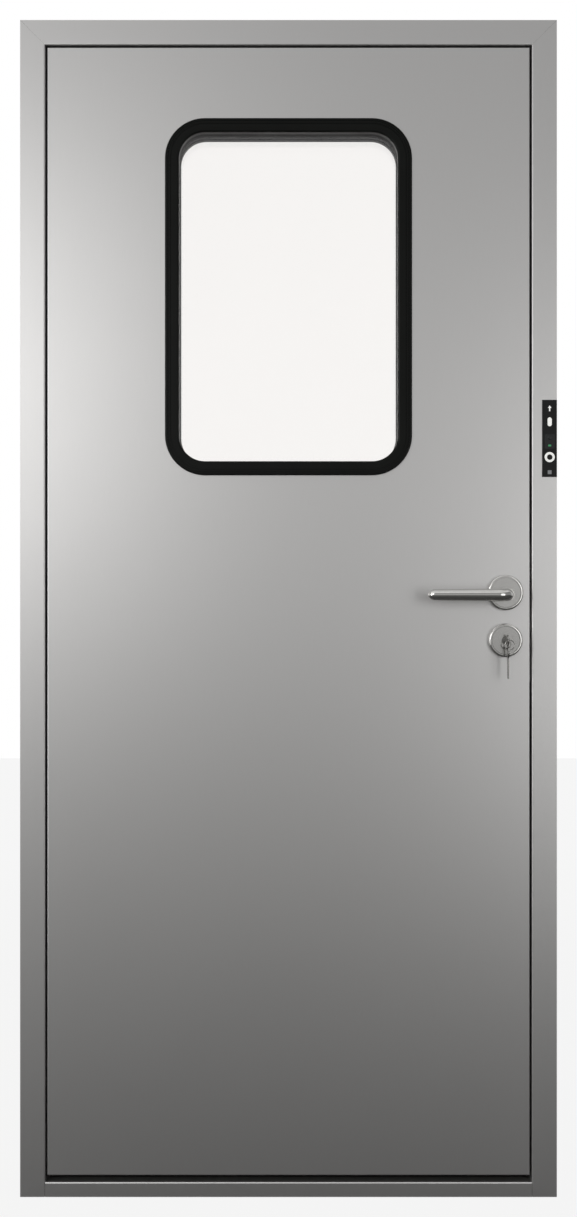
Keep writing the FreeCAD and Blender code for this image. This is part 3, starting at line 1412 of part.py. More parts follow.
def make_furniture():
    """Levers, spindle, roses with their bases and springs, and the bolts through them."""
    sides = (-1, 1)
    make_lever("front_lever", -1)
    make_lever("rear_lever", 1)
    reach = "rose_height + rose_rim"
    across, up = about("lever_x", "spindle_width / 2"), about("lever_height", "spindle_width / 2")
    node(block("spindle", across, (proud(-1, reach), proud(1, reach)), up), "spindle")
    at = ("lever_x", "lever_height")
    collar_hole = "lever_collar + running_clearance"
    sizes = ("rose_radius", "rose_height", collar_hole)
    roses = [make_rose("lever_rose", side, "lever_height", *sizes) for side in sides]
    node(together("lever_roses", *roses), "lever_roses")
    sizes = ("key_rose_radius", "key_rose_height", "plug_radius + slide_clearance")
    roses = [make_rose("key_rose", side, "key_z", *sizes) for side in sides]
    node(together("key_roses", *roses), "key_roses")
    bolts = []
    top = "rose_base_thickness"
    shanks = rose_bolt_rods("rose_bolt_shank", (proud(-1, top), proud(1, top)), "screw_radius")
    for place, shank in zip(about("lever_x", "rose_bolt_reach"), shanks):
        seat = between(-1, f"{top} - screw_sink", top)
        head = rod("rose_bolt_head", "y", (place, "lever_height"), seat, "screw_head * 0.8")
        bolts.append(fuse("rose_bolt", shank, head))
    node(together("rose_bolts", *bolts), "rose_bolts")
    bases, springs = [], []
    for side in sides:
        span = between(side, "0", "rose_base_thickness")
        disc = rod("rose_base_disc", "y", at, span, "rose_base_radius")
        bases.append(cut("rose_base", disc, rod("rose_base_hole", "y", at, span, collar_hole), *bolts))
        gap = between(side, "rose_base_thickness", "rose_height - rose_wall")
        coil = rod("spring_disc", "y", at, gap, "spring_radius")
        hole = rod("spring_hole", "y", at, gap, "lever_collar + slide_clearance")
        springs.append(cut("return_spring", coil, hole))
    node(together("rose_bases", *bases), "rose_bases")
    node(together("return_springs", *springs), "return_springs")


# ---------------------------------------------------------------- all together


def check():
    """Stops if any object failed or any sub-part's shape is missing or not valid."""
    failed = [thing.Name for thing in doc.Objects if {"Invalid", "Error"} & set(thing.State)]
    if failed:
        raise RuntimeError("failed: " + ", ".join(failed))
    for thing in NODES:
        if thing.Shape.isNull() or not thing.Shape.isValid() or not thing.Shape.Solids:
            raise RuntimeError(f"{thing.Label} has no valid shape")


def main():
    """Makes every sub-part, checks it and writes it."""
    fill_sheet()
    fill_layout()
    leaf_screws, frame_screws = make_hinges()
    make_hinge_jamb(frame_screws)
    make_lock_jamb()
    make_head()
    make_sill()
    make_cleats()
    make_strike()
    make_controls()
    make_front_skin()
    make_rear_skin(leaf_screws)
    make_channels(leaf_screws)
    make_core()
    make_seals()
    make_window()
    make_lock_case()
    make_follower()
    make_bolts()
    make_cylinder()
    make_keys()
    make_furniture()
    doc.recompute()
    check()
    os.makedirs("parts", exist_ok=True)
    for thing in NODES:
        thing.Shape.exportStep(f"parts/{thing.Label}.step")


main()
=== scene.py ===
"""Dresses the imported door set: a glazed, gasketed stainless leaf with its lock, hinges and control strip.

Metres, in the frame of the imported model: +X from the hinges to the lock, -Y towards the camera, +Z up.
"""

import logging
import math
from dataclasses import dataclass
from enum import Enum
from typing import Any, Iterable, Sequence

import bmesh
import bpy
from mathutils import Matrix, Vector


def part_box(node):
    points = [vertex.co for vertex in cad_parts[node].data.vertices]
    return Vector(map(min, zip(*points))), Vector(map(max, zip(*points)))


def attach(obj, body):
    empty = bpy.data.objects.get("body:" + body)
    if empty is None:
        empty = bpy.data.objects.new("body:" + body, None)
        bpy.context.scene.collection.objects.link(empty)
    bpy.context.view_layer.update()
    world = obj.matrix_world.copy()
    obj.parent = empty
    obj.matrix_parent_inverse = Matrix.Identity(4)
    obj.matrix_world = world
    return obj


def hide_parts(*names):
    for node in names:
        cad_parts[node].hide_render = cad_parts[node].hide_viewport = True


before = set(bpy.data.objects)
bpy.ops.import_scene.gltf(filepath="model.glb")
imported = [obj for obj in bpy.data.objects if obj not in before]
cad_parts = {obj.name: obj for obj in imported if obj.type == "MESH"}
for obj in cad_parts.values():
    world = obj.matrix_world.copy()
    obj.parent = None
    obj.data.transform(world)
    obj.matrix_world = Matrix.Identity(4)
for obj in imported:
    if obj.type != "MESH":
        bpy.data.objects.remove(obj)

log = logging.getLogger("door")
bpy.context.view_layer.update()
MM = 0.001
Point = tuple[float, float, float]


# ---------------------------------------------------------------- helpers


def linear(code: str) -> tuple[float, float, float, float]:
    """Turns an sRGB hex value into a linear colour.

    Args:
        code: six hex digits after a hash sign.

    Returns:
        Red, green, blue and a full alpha, linear.
    """
    parts = [int(code[i : i + 2], 16) / 255 for i in (1, 3, 5)]
    bent = [p / 12.92 if p <= 0.04045 else ((p + 0.055) / 1.055) ** 2.4 for p in parts]
    return (bent[0], bent[1], bent[2], 1.0)


def add_node(
    tree: bpy.types.NodeTree, kind: str, inputs: dict[Any, Any] | None = None, **settings: Any
) -> bpy.types.Node:
    """Adds a node with its settings, and its inputs as values or links.

    Args:
        tree: the tree that takes the node.
        kind: the node's type name.
        inputs: input name or index to a value, or to the socket that feeds it.
        settings: attributes of the node.

    Returns:
        The node.
    """
    node = tree.nodes.new(kind)
    for name, setting in settings.items():
        setattr(node, name, setting)
    for key, given in (inputs or {}).items():
        if isinstance(given, bpy.types.NodeSocket):
            tree.links.new(given, node.inputs[key])
        else:
            node.inputs[key].default_value = given
    return node


def mesh_object(name: str, made: bmesh.types.BMesh) -> bpy.types.Object:
    """Turns a finished bmesh into an object at the origin, with its faces outwards.

    Args:
        name: the piece's name.
        made: the mesh, freed afterwards.

    Returns:
        The linked object.
    """
    bmesh.ops.remove_doubles(made, verts=made.verts, dist=1e-7)
    bmesh.ops.recalc_face_normals(made, faces=made.faces)
    data = bpy.data.meshes.new(name)
    made.to_mesh(data)
    made.free()
    thing = bpy.data.objects.new(name, data)
    bpy.context.scene.collection.objects.link(thing)
    return thing


def prism(made: bmesh.types.BMesh, outline: Sequence[tuple[float, float]], near: float, far: float) -> None:
    """Adds a closed prism: an outline in X and Z, from one Y to another.

    Args:
        made: the mesh that takes it.
        outline: corners in order.
        near: the lower Y.
        far: the higher Y.
    """
    rings = [[made.verts.new((x, y, z)) for x, z in outline] for y in (near, far)]
    made.faces.new(rings[0])
    made.faces.new(list(reversed(rings[1])))
    for i in range(len(outline)):
        j = (i + 1) % len(outline)
        made.faces.new((rings[0][j], rings[0][i], rings[1][i], rings[1][j]))


def middle(node: str) -> Vector:
    """Gives the middle of a CAD node's box."""
    low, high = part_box(node)
    return (Vector(low) + Vector(high)) / 2


def settle(piece: bpy.types.Object, body: str, material: bpy.types.Material | None = None) -> None:
    """Gives a piece its material and its body, and reports it.

    Args:
        piece: the finished object.
        body: the CAD body that it rides on.
        material: its material, if its mesh has none yet.
    """
    if material is not None:
        piece.data.materials.clear()
        piece.data.materials.append(material)
    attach(piece, body)
    log.info("%s rides on %s", piece.name, body)


def dress(material: bpy.types.Material, *nodes: str) -> None:
    """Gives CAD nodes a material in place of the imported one.

    Args:
        material: the finish.
        nodes: the nodes' names.
    """
    for name in nodes:
        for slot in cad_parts[name].material_slots:
            slot.material = material
        log.info("%s is %s", name, material.name)


def new_geometry_tree(name: str, floats: Iterable[str], vector: str) -> bpy.types.NodeTree:
    """Starts a tree of Geometry Nodes with its named inputs.

    Args:
        name: the tree's name.
        floats: names of its inputs that are numbers.
        vector: name of its input that is a vector.

    Returns:
        The tree, which also takes and gives a geometry and takes a material.
    """
    tree = bpy.data.node_groups.new(name, "GeometryNodeTree")
    face = tree.interface
    face.new_socket("Geometry", in_out="INPUT", socket_type="NodeSocketGeometry")
    for label in floats:
        face.new_socket(label, in_out="INPUT", socket_type="NodeSocketFloat")
    face.new_socket(vector, in_out="INPUT", socket_type="NodeSocketVector")
    face.new_socket("Material", in_out="INPUT", socket_type="NodeSocketMaterial")
    face.new_socket("Geometry", in_out="OUTPUT", socket_type="NodeSocketGeometry")
    return tree


def end_geometry_tree(
    tree: bpy.types.NodeTree, geometry: bpy.types.NodeSocket, material: bpy.types.NodeSocket
) -> None:
    """Ends a tree: its instances made real, its material set.

    Args:
        tree: the tree.
        geometry: the socket that gives the finished shape.
        material: the socket that gives the material.
    """
    real = add_node(tree, "GeometryNodeRealizeInstances", {"Geometry": geometry})
    finished = add_node(
        tree, "GeometryNodeSetMaterial", {"Geometry": real.outputs["Geometry"], "Material": material}
    )
    add_node(tree, "NodeGroupOutput", {0: finished.outputs["Geometry"]})


def bake(
    name: str,
    data: bpy.types.Mesh,
    tree: bpy.types.NodeTree,
    values: dict[str, Any],
    smooth: bool = False,
) -> bpy.types.Object:
    """Runs a tree of Geometry Nodes on a mesh and keeps the result as a plain mesh.

    Args:
        name: the piece's name.
        data: the mesh that goes in.
        tree: the tree.
        values: input name to value.
        smooth: whether the piece is round rather than faceted.

    Returns:
        The linked object, with no modifier.
    """
    source = bpy.data.objects.new(name + "_source", data)
    bpy.context.scene.collection.objects.link(source)
    modifier = source.modifiers.new("nodes", "NODES")
    modifier.node_group = tree
    for item in tree.interface.items_tree:
        if item.in_out == "INPUT" and item.name in values:
            modifier[item.identifier] = values[item.name]
    graph = bpy.context.evaluated_depsgraph_get()
    graph.update()
    made = bpy.data.meshes.new_from_object(source.evaluated_get(graph), depsgraph=graph)
    source.modifiers.clear()
    bpy.data.objects.remove(source)
    made.name = name
    if smooth:
        made.shade_smooth()
    else:
        made.shade_flat()
    piece = bpy.data.objects.new(name, made)
    bpy.context.scene.collection.objects.link(piece)
    return piece


# ---------------------------------------------------------------- finishes


class Grain(Enum):
    """Which way the polishing belt ran over a sheet."""

    UPRIGHT = (1.0, 1.0, 0.012)
    LEVEL = (0.012, 1.0, 1.0)


def new_material(name: str) -> tuple[bpy.types.Material, bpy.types.NodeTree, bpy.types.Node]:
    """Makes a material that holds only a Principled shader.

    Args:
        name: the finish in a maker's words.

    Returns:
        The material, its tree and the shader.
    """
    material = bpy.data.materials.new(name)
    material.use_nodes = True
    tree = material.node_tree
    tree.nodes.clear()
    shader = add_node(tree, "ShaderNodeBsdfPrincipled")
    add_node(tree, "ShaderNodeOutputMaterial", {"Surface": shader.outputs["BSDF"]})
    return material, tree, shader


@dataclass(frozen=True)
class BeltedStainless:
    """Stainless sheet, 304, dulled by a belt: a soft, wide sheen with grain too fine to count."""

    name: str
    grain: Grain
    colour: str = "#cbcac9"
    shade: str = "#c4c3c2"
    roughness: float = 0.40
    line_width: float = 0.5 * MM  # the real scratches are 0.05 mm, drawn coarser so that they show
    clouds_per_metre: float = 4.0
    scratch_share: float = 0.6
    spread: float = 0.03

    def material(self) -> bpy.types.Material:
        """Builds the finish: stretched noise gives the scratches and a slow one the belt's unevenness."""
        material, tree, shader = new_material(self.name)
        place = add_node(tree, "ShaderNodeTexCoord")
        along = add_node(
            tree, "ShaderNodeMapping", {"Vector": place.outputs["Object"], "Scale": self.grain.value}
        )
        scratch = add_node(
            tree,
            "ShaderNodeTexNoise",
            {"Vector": along.outputs["Vector"], "Scale": 1 / self.line_width, "Detail": 3.0},
        )
        cloud = add_node(
            tree,
            "ShaderNodeTexNoise",
            {"Vector": place.outputs["Object"], "Scale": self.clouds_per_metre, "Detail": 2.0},
        )
        blend = add_node(
            tree,
            "ShaderNodeMath",
            {0: scratch.outputs["Fac"], 1: self.scratch_share},
            operation="MULTIPLY",
        )
        both = add_node(
            tree,
            "ShaderNodeMath",
            {0: cloud.outputs["Fac"], 1: 1.0 - self.scratch_share, 2: blend.outputs[0]},
            operation="MULTIPLY_ADD",
        )
        tint = add_node(
            tree,
            "ShaderNodeMix",
            {0: both.outputs[0], 6: linear(self.colour), 7: linear(self.shade)},
            data_type="RGBA",
        )
        rough = add_node(
            tree,
            "ShaderNodeMapRange",
            {
                "Value": both.outputs[0],
                "To Min": self.roughness - self.spread,
                "To Max": self.roughness + self.spread,
            },
        )
        bump = add_node(
            tree,
            "ShaderNodeBump",
            {"Height": scratch.outputs["Fac"], "Strength": 0.02, "Distance": 0.05 * MM},
        )
        tree.links.new(tint.outputs[2], shader.inputs["Base Color"])
        tree.links.new(rough.outputs["Result"], shader.inputs["Roughness"])
        tree.links.new(bump.outputs["Normal"], shader.inputs["Normal"])
        shader.inputs["Metallic"].default_value = 1.0
        return material


@dataclass(frozen=True)
class SpeckledMetal:
    """Metal whose surface varies in patches: plated, cast, galvanised or handled."""

    name: str
    colour: str
    shade: str
    roughness: float
    patch: float = 6 * MM
    spangle: bool = False
    spread: float = 0.06
    pit: float = 0.6 * MM

    def material(self) -> bpy.types.Material:
        """Builds the finish: patches or crystals change its tint and its roughness."""
        material, tree, shader = new_material(self.name)
        place = add_node(tree, "ShaderNodeTexCoord")
        if self.spangle:
            cells = add_node(
                tree, "ShaderNodeTexVoronoi", {"Vector": place.outputs["Object"], "Scale": 1 / self.patch}
            )
            grey = add_node(tree, "ShaderNodeRGBToBW", {0: cells.outputs["Color"]})
            value = grey.outputs[0]
        else:
            noise = add_node(
                tree,
                "ShaderNodeTexNoise",
                {"Vector": place.outputs["Object"], "Scale": 1 / self.patch, "Detail": 4.0},
            )
            value = noise.outputs["Fac"]
        tint = add_node(
            tree, "ShaderNodeMix", {0: value, 6: linear(self.colour), 7: linear(self.shade)}, data_type="RGBA"
        )
        rough = add_node(
            tree,
            "ShaderNodeMapRange",
            {"Value": value, "To Min": self.roughness - self.spread, "To Max": self.roughness + self.spread},
        )
        fine = add_node(
            tree, "ShaderNodeTexNoise", {"Vector": place.outputs["Object"], "Scale": 1 / self.pit}
        )
        bump = add_node(
            tree, "ShaderNodeBump", {"Height": fine.outputs["Fac"], "Strength": 0.03, "Distance": 0.05 * MM}
        )
        tree.links.new(tint.outputs[2], shader.inputs["Base Color"])
        tree.links.new(rough.outputs["Result"], shader.inputs["Roughness"])
        tree.links.new(bump.outputs["Normal"], shader.inputs["Normal"])
        shader.inputs["Metallic"].default_value = 1.0
        return material


@dataclass(frozen=True)
class Moulding:
    """Rubber or plastic out of a mould: even colour, a fine skin, and dust that dulls it in patches."""

    name: str
    colour: str
    shade: str
    roughness: float
    texture: float = 0.4 * MM
    relief: float = 0.08
    ior: float = 1.5
    specular: float = 0.5
    glow: float = 0.0
    patches_per_metre: float = 18.0
    spread: float = 0.06
    smoothest: float = 0.02

    def material(self) -> bpy.types.Material:
        """Builds the finish: a fine stipple in relief and slow patches in tint and roughness."""
        material, tree, shader = new_material(self.name)
        place = add_node(tree, "ShaderNodeTexCoord")
        stipple = add_node(
            tree,
            "ShaderNodeTexNoise",
            {"Vector": place.outputs["Object"], "Scale": 1 / self.texture, "Detail": 2.0},
        )
        patch = add_node(
            tree,
            "ShaderNodeTexNoise",
            {"Vector": place.outputs["Object"], "Scale": self.patches_per_metre, "Detail": 3.0},
        )
        tint = add_node(
            tree,
            "ShaderNodeMix",
            {0: patch.outputs["Fac"], 6: linear(self.colour), 7: linear(self.shade)},
            data_type="RGBA",
        )
        rough = add_node(
            tree,
            "ShaderNodeMapRange",
            {
                "Value": patch.outputs["Fac"],
                "To Min": max(self.roughness - self.spread, self.smoothest),
                "To Max": self.roughness + self.spread,
            },
        )
        bump = add_node(
            tree,
            "ShaderNodeBump",
            {"Height": stipple.outputs["Fac"], "Strength": self.relief, "Distance": 0.1 * MM},
        )
        tree.links.new(tint.outputs[2], shader.inputs["Base Color"])
        tree.links.new(rough.outputs["Result"], shader.inputs["Roughness"])
        tree.links.new(bump.outputs["Normal"], shader.inputs["Normal"])
        shader.inputs["IOR"].default_value = self.ior
        shader.inputs["Specular IOR Level"].default_value = self.specular
        # a glow: light given off by the status lamp and the indicator, and painted light on the white ring
        # and arrow, which are no lamps
        if self.glow:
            tree.links.new(tint.outputs[2], shader.inputs["Emission Color"])
            shader.inputs["Emission Strength"].default_value = self.glow
        return material


@dataclass(frozen=True)
class FloatGlass:
    """Clear float glass: flat, sharp in what it mirrors, and all but colourless."""

    name: str = "clear float glass"
    colour: str = "#fcfbfa"
    shade: str = "#fbfaf9"
    haze_per_metre: float = 3.0
    ior: float = 1.52

    def material(self) -> bpy.types.Material:
        """Builds the glass, with a trace of unevenness in its tint."""
        material, tree, shader = new_material(self.name)
        place = add_node(tree, "ShaderNodeTexCoord")
        haze = add_node(
            tree,
            "ShaderNodeTexNoise",
            {"Vector": place.outputs["Object"], "Scale": self.haze_per_metre, "Detail": 1.0},
        )
        tint = add_node(
            tree,
            "ShaderNodeMix",
            {0: haze.outputs["Fac"], 6: linear(self.colour), 7: linear(self.shade)},
            data_type="RGBA",
        )
        tree.links.new(tint.outputs[2], shader.inputs["Base Color"])
        shader.inputs["Roughness"].default_value = 0.0
        shader.inputs["Transmission Weight"].default_value = 1.0
        shader.inputs["IOR"].default_value = self.ior
        return material


@dataclass(frozen=True)
class WoolBoard:
    """Mineral wool board: a dull mat of ochre fibres."""

    name: str = "mineral wool board"
    colour: str = "#b39a5c"
    shade: str = "#7d6838"
    fibres_per_metre: float = 900.0
    fibre_stretch: Point = (1.0, 1.0, 0.1)
    roughness: float = 0.95

    def material(self) -> bpy.types.Material:
        """Builds the board: long thin noise for its fibres, in tint and in relief."""
        material, tree, shader = new_material(self.name)
        place = add_node(tree, "ShaderNodeTexCoord")
        lie = add_node(
            tree, "ShaderNodeMapping", {"Vector": place.outputs["Object"], "Scale": self.fibre_stretch}
        )
        fibre = add_node(
            tree,
            "ShaderNodeTexNoise",
            {"Vector": lie.outputs["Vector"], "Scale": self.fibres_per_metre, "Detail": 5.0},
        )
        tint = add_node(
            tree,
            "ShaderNodeMix",
            {0: fibre.outputs["Fac"], 6: linear(self.colour), 7: linear(self.shade)},
            data_type="RGBA",
        )
        bump = add_node(
            tree, "ShaderNodeBump", {"Height": fibre.outputs["Fac"], "Strength": 0.6, "Distance": 1 * MM}
        )
        tree.links.new(tint.outputs[2], shader.inputs["Base Color"])
        tree.links.new(bump.outputs["Normal"], shader.inputs["Normal"])
        shader.inputs["Roughness"].default_value = self.roughness
        return material


class Finishes:
    """The finishes of this door, each made once."""

    def __init__(self) -> None:
        """Builds every material."""
        # a soft grey sheen, drawn out along the belt
        self.sheet = BeltedStainless("belted stainless, grain upright", Grain.UPRIGHT).material()
        self.rail = BeltedStainless("belted stainless, grain level", Grain.LEVEL).material()
        # bright, with a light and a dark half on every round piece
        self.polished = SpeckledMetal(
            "polished stainless", "#d2d1ce", "#c6c5c2", 0.13, 9 * MM, spread=0.02
        ).material()
        # paler and duller than the polished pieces
        self.hinge = SpeckledMetal("satin stainless casting", "#c4c3bf", "#b3b2ae", 0.30).material()
        # plain, slightly uneven plating on what the door hides
        self.zinc = SpeckledMetal("zinc plated steel", "#bfc1bf", "#a6a8a4", 0.33).material()
        # crystals a few millimetres wide
        self.galvanised = SpeckledMetal(
            "galvanised steel", "#aeb2b3", "#8b8f91", 0.42, 8 * MM, spangle=True
        ).material()
        # dark and bluish
        self.spring = SpeckledMetal("blued spring steel", "#5d6066", "#43464c", 0.35).material()
        # a warmer, darker grey than steel
        self.nickel = SpeckledMetal("nickel silver", "#a9a8a5", "#8f8e8b", 0.22, 3 * MM).material()
        # brown, as a bearing looks
        self.bronze = SpeckledMetal("oil bronze", "#9c7546", "#7e5b33", 0.40).material()
        # deep black that outlines the window, with little shine
        self.epdm = Moulding(
            "extruded EPDM", "#101110", "#151614", 0.32, 0.5 * MM, 0.06, specular=0.09
        ).material()
        # black with a fine moulded stipple
        self.abs = Moulding(
            "black moulded ABS", "#0e0e0e", "#131313", 0.42, 0.3 * MM, 0.12, specular=0.2
        ).material()
        # black and dull, so that the edge of the panes stays dark
        self.spacer = Moulding("black composite spacer", "#0f0f0f", "#141414", 0.60, specular=0.2).material()
        self.nylon = Moulding("black nylon", "#1b1b1b", "#222222", 0.55).material()
        # nearly black and glossy, over the display and the lens
        self.display = Moulding(
            "smoked acrylic", "#0d0f10", "#121516", 0.08, relief=0.0, ior=1.49
        ).material()
        # white that stands out of the black strip, with a weak glow: painted light that makes the button ring
        # and the printed arrow whiter than the lamps make them
        self.white = Moulding(
            "white polycarbonate with painted glow", "#f4f4f1", "#eeeeea", 0.30, relief=0.02, glow=0.22
        ).material()
        self.lamp = Moulding(
            "opal polycarbonate", "#f4f4f0", "#ecece8", 0.30, relief=0.02, glow=0.25
        ).material()
        # marks of the strip: a grey print and a dim green light
        self.grey = Moulding("grey printed ink", "#8b8d8f", "#7f8183", 0.5, relief=0.02).material()
        self.green = Moulding(
            "green indicator", "#2a7d4b", "#348a57", 0.3, relief=0.0, glow=0.35
        ).material()
        # painted shade: a dark hairline over each mitre that stands for the shade in its gap, a little darker
        # than the sheets that meet in it
        self.seam = Moulding("painted shade in a mitre", "#4e4c49", "#5a5854", 0.8).material()
        self.glass = FloatGlass().material()
        self.wool = WoolBoard().material()


# ---------------------------------------------------------------- screws


@dataclass
class Screw:
    """A countersunk screw with a cross recess."""

    head_radius: float = 4.0 * MM
    shank_radius: float = 2.0 * MM
    head_depth: float = 2.0 * MM
    length: float = 14.0 * MM
    recess_reach: float = 2.3 * MM
    recess_width: float = 0.85 * MM
    recess_depth: float = 1.2 * MM


class ScrewRows:
    """Rows of one kind of screw, made by one tree of Geometry Nodes."""

    INPUTS = (
        ("Head Radius", "head_radius"),
        ("Shank Radius", "shank_radius"),
        ("Head Depth", "head_depth"),
        ("Length", "length"),
        ("Recess Reach", "recess_reach"),
        ("Recess Width", "recess_width"),
        ("Recess Depth", "recess_depth"),
    )
    HEAD_SIDES = 32
    SHANK_SIDES = 24
    SEED = 7

    def __init__(self) -> None:
        """Builds the tree: a screw with its head's face at zero, set on each point of the mesh."""
        self.tree = new_geometry_tree("screws_on_points", [label for label, _ in self.INPUTS], "Turn")
        given = add_node(self.tree, "NodeGroupInput").outputs
        screw = self._screw(given)
        rows = self._rows(given, screw)
        end_geometry_tree(self.tree, rows, given["Material"])

    def _screw(self, given: bpy.types.NodeOutputs) -> bpy.types.NodeSocket:
        """Adds the nodes that make one screw.

        Args:
            given: the tree's inputs.

        Returns:
            The socket that gives the screw.
        """
        tree = self.tree
        down = add_node(tree, "ShaderNodeMath", {0: given["Head Depth"], 1: -1.0}, operation="MULTIPLY")
        head = add_node(
            tree,
            "GeometryNodeMeshCone",
            {
                "Vertices": self.HEAD_SIDES,
                "Radius Top": given["Head Radius"],
                "Radius Bottom": given["Shank Radius"],
                "Depth": given["Head Depth"],
            },
        )
        sunk = add_node(tree, "ShaderNodeCombineXYZ", {"Z": down.outputs[0]})
        lowered = add_node(
            tree, "GeometryNodeTransform", {"Geometry": head.outputs["Mesh"], "Translation": sunk.outputs[0]}
        )
        width = add_node(tree, "ShaderNodeMath", {0: given["Recess Reach"], 1: 2.0}, operation="MULTIPLY")
        depth = add_node(tree, "ShaderNodeMath", {0: given["Recess Depth"], 1: 2.0}, operation="MULTIPLY")
        one = add_node(
            tree,
            "ShaderNodeCombineXYZ",
            {"X": width.outputs[0], "Y": given["Recess Width"], "Z": depth.outputs[0]},
        )
        other = add_node(
            tree,
            "ShaderNodeCombineXYZ",
            {"X": given["Recess Width"], "Y": width.outputs[0], "Z": depth.outputs[0]},
        )
        bars = [add_node(tree, "GeometryNodeMeshCube", {"Size": size.outputs[0]}) for size in (one, other)]
        recessed = lowered.outputs["Geometry"]
        for bar in bars:
            less = add_node(tree, "GeometryNodeMeshBoolean", operation="DIFFERENCE")
            tree.links.new(recessed, less.inputs[0])
            tree.links.new(bar.outputs["Mesh"], less.inputs[1])
            recessed = less.outputs[0]
        shank = add_node(
            tree,
            "GeometryNodeMeshCylinder",
            {"Vertices": self.SHANK_SIDES, "Radius": given["Shank Radius"], "Depth": given["Length"]},
        )
        half = add_node(
            tree,
            "ShaderNodeMath",
            {0: given["Length"], 1: -0.5, 2: down.outputs[0]},
            operation="MULTIPLY_ADD",
        )
        behind = add_node(tree, "ShaderNodeCombineXYZ", {"Z": half.outputs[0]})
        tail = add_node(
            tree,
            "GeometryNodeTransform",
            {"Geometry": shank.outputs["Mesh"], "Translation": behind.outputs[0]},
        )
        whole = add_node(tree, "GeometryNodeJoinGeometry")
        tree.links.new(recessed, whole.inputs[0])
        tree.links.new(tail.outputs["Geometry"], whole.inputs[0])
        return whole.outputs["Geometry"]

    def _rows(self, given: bpy.types.NodeOutputs, screw: bpy.types.NodeSocket) -> bpy.types.NodeSocket:
        """Adds the nodes that set a screw on each point, each driven home at an angle of its own.

        Args:
            given: the tree's inputs.
            screw: the socket that gives one screw.

        Returns:
            The socket that gives the instances.
        """
        tree = self.tree
        spots = add_node(tree, "GeometryNodeMeshToPoints", {"Mesh": given["Geometry"]})
        facing = add_node(tree, "FunctionNodeEulerToRotation", {"Euler": given["Turn"]})
        placed = add_node(
            tree,
            "GeometryNodeInstanceOnPoints",
            {
                "Points": spots.outputs["Points"],
                "Instance": screw,
                "Rotation": facing.outputs["Rotation"],
            },
        )
        index = add_node(tree, "GeometryNodeInputIndex")
        chance = add_node(
            tree,
            "FunctionNodeRandomValue",
            {2: 0.0, 3: math.pi / 2, "ID": index.outputs[0], "Seed": self.SEED},
            data_type="FLOAT",
        )
        driven = add_node(tree, "ShaderNodeCombineXYZ", {"Z": chance.outputs[1]})
        tightened = add_node(tree, "FunctionNodeEulerToRotation", {"Euler": driven.outputs[0]})
        turned = add_node(
            tree,
            "GeometryNodeRotateInstances",
            {"Instances": placed.outputs["Instances"], "Rotation": tightened.outputs["Rotation"]},
        )
        return turned.outputs["Instances"]

    def place(
        self,
        name: str,
        points: Iterable[Point],
        turn: Point,
        screw: Screw,
        material: bpy.types.Material,
    ) -> bpy.types.Object:
        """Sets screws at points.

        Args:
            name: the piece's name.
            points: the middles of the heads' faces.
            turn: Euler angles that turn +Z to the way the heads look.
            screw: its sizes.
            material: its finish.

        Returns:
            The screws as one plain mesh.
        """
        data = bpy.data.meshes.new(name)
        data.from_pydata([tuple(point) for point in points], [], [])
        values = {label: getattr(screw, field_name) for label, field_name in self.INPUTS}
        return bake(name, data, self.tree, {**values, "Turn": turn, "Material": material})


# ---------------------------------------------------------------- sub-assemblies


@dataclass
class FrameSet:
    """Jambs, head and sill, with the strike in the lock jamb."""

    finishes: Finishes
    screws: ScrewRows
    face_width: float = 42 * MM
    seam_width: float = 0.25 * MM
    seam_proud: float = 0.03 * MM

    def build(self) -> None:
        """Dresses the sheets and adds the mitre seams and the strike's screws."""
        dress(self.finishes.sheet, "hinge_jamb", "lock_jamb")
        dress(self.finishes.rail, "frame_head", "sill")
        dress(self.finishes.galvanised, "corner_cleats", "strike_plate", "strike_box")
        dress(self.finishes.zinc, "strike_keeper")
        self._seams()
        self._strike_screws()

    def _seams(self) -> None:
        """Lays a dark hairline over each mitre, where the two sheets meet: painted shade that stands for the
        gap between them.
        """
        low, high = (Vector(corner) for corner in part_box("frame_head"))
        made = bmesh.new()
        wide = self.seam_width / math.sqrt(2)
        for side in (-1, 1):
            outer = (side * high.x, high.z)
            inner = (side * (high.x - self.face_width), high.z - self.face_width)
            outline = [
                (outer[0], outer[1] - wide),
                (outer[0] - side * wide, outer[1]),
                (inner[0], inner[1] + wide),
                inner,
            ]
            prism(made, outline, low.y - self.seam_proud, low.y)
        seams = mesh_object("mitre_seams", made)
        settle(seams, "frame", self.finishes.seam)

    def _strike_screws(self) -> None:
        """Replaces the strike's plain screws."""
        low, high = (Vector(corner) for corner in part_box("strike_screws"))
        heights = (low.z + Screw.head_radius, high.z - Screw.head_radius)
        points = [(low.x, (low.y + high.y) / 2, z) for z in heights]
        screw = Screw(length=high.x - low.x - Screw.head_depth)
        turn = (0.0, -math.pi / 2, 0.0)
        piece = self.screws.place("strike_plate_screws", points, turn, screw, self.finishes.zinc)
        settle(piece, "frame")
        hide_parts("strike_screws")


@dataclass
class Leaf:
    """The two skins, what stiffens and fills them, and the seals on their edges."""

    finishes: Finishes

    def build(self) -> None:
        """Dresses the leaf."""
        dress(self.finishes.sheet, "front_skin", "rear_skin")
        dress(self.finishes.galvanised, "hinge_stile", "lock_stile", "top_rail", "bottom_rail")
        dress(self.finishes.wool, "leaf_core")
        dress(self.finishes.epdm, "leaf_seal", "bottom_seal")


@dataclass
class Window:
    """Panes, spacer, liner and gaskets."""

    finishes: Finishes

    def build(self) -> None:
        """Dresses the window."""
        dress(self.finishes.glass, "front_glass", "rear_glass")
        dress(self.finishes.spacer, "glass_spacer")
        dress(self.finishes.sheet, "window_liner")
        dress(self.finishes.epdm, "front_glazing_gasket", "rear_glazing_gasket")


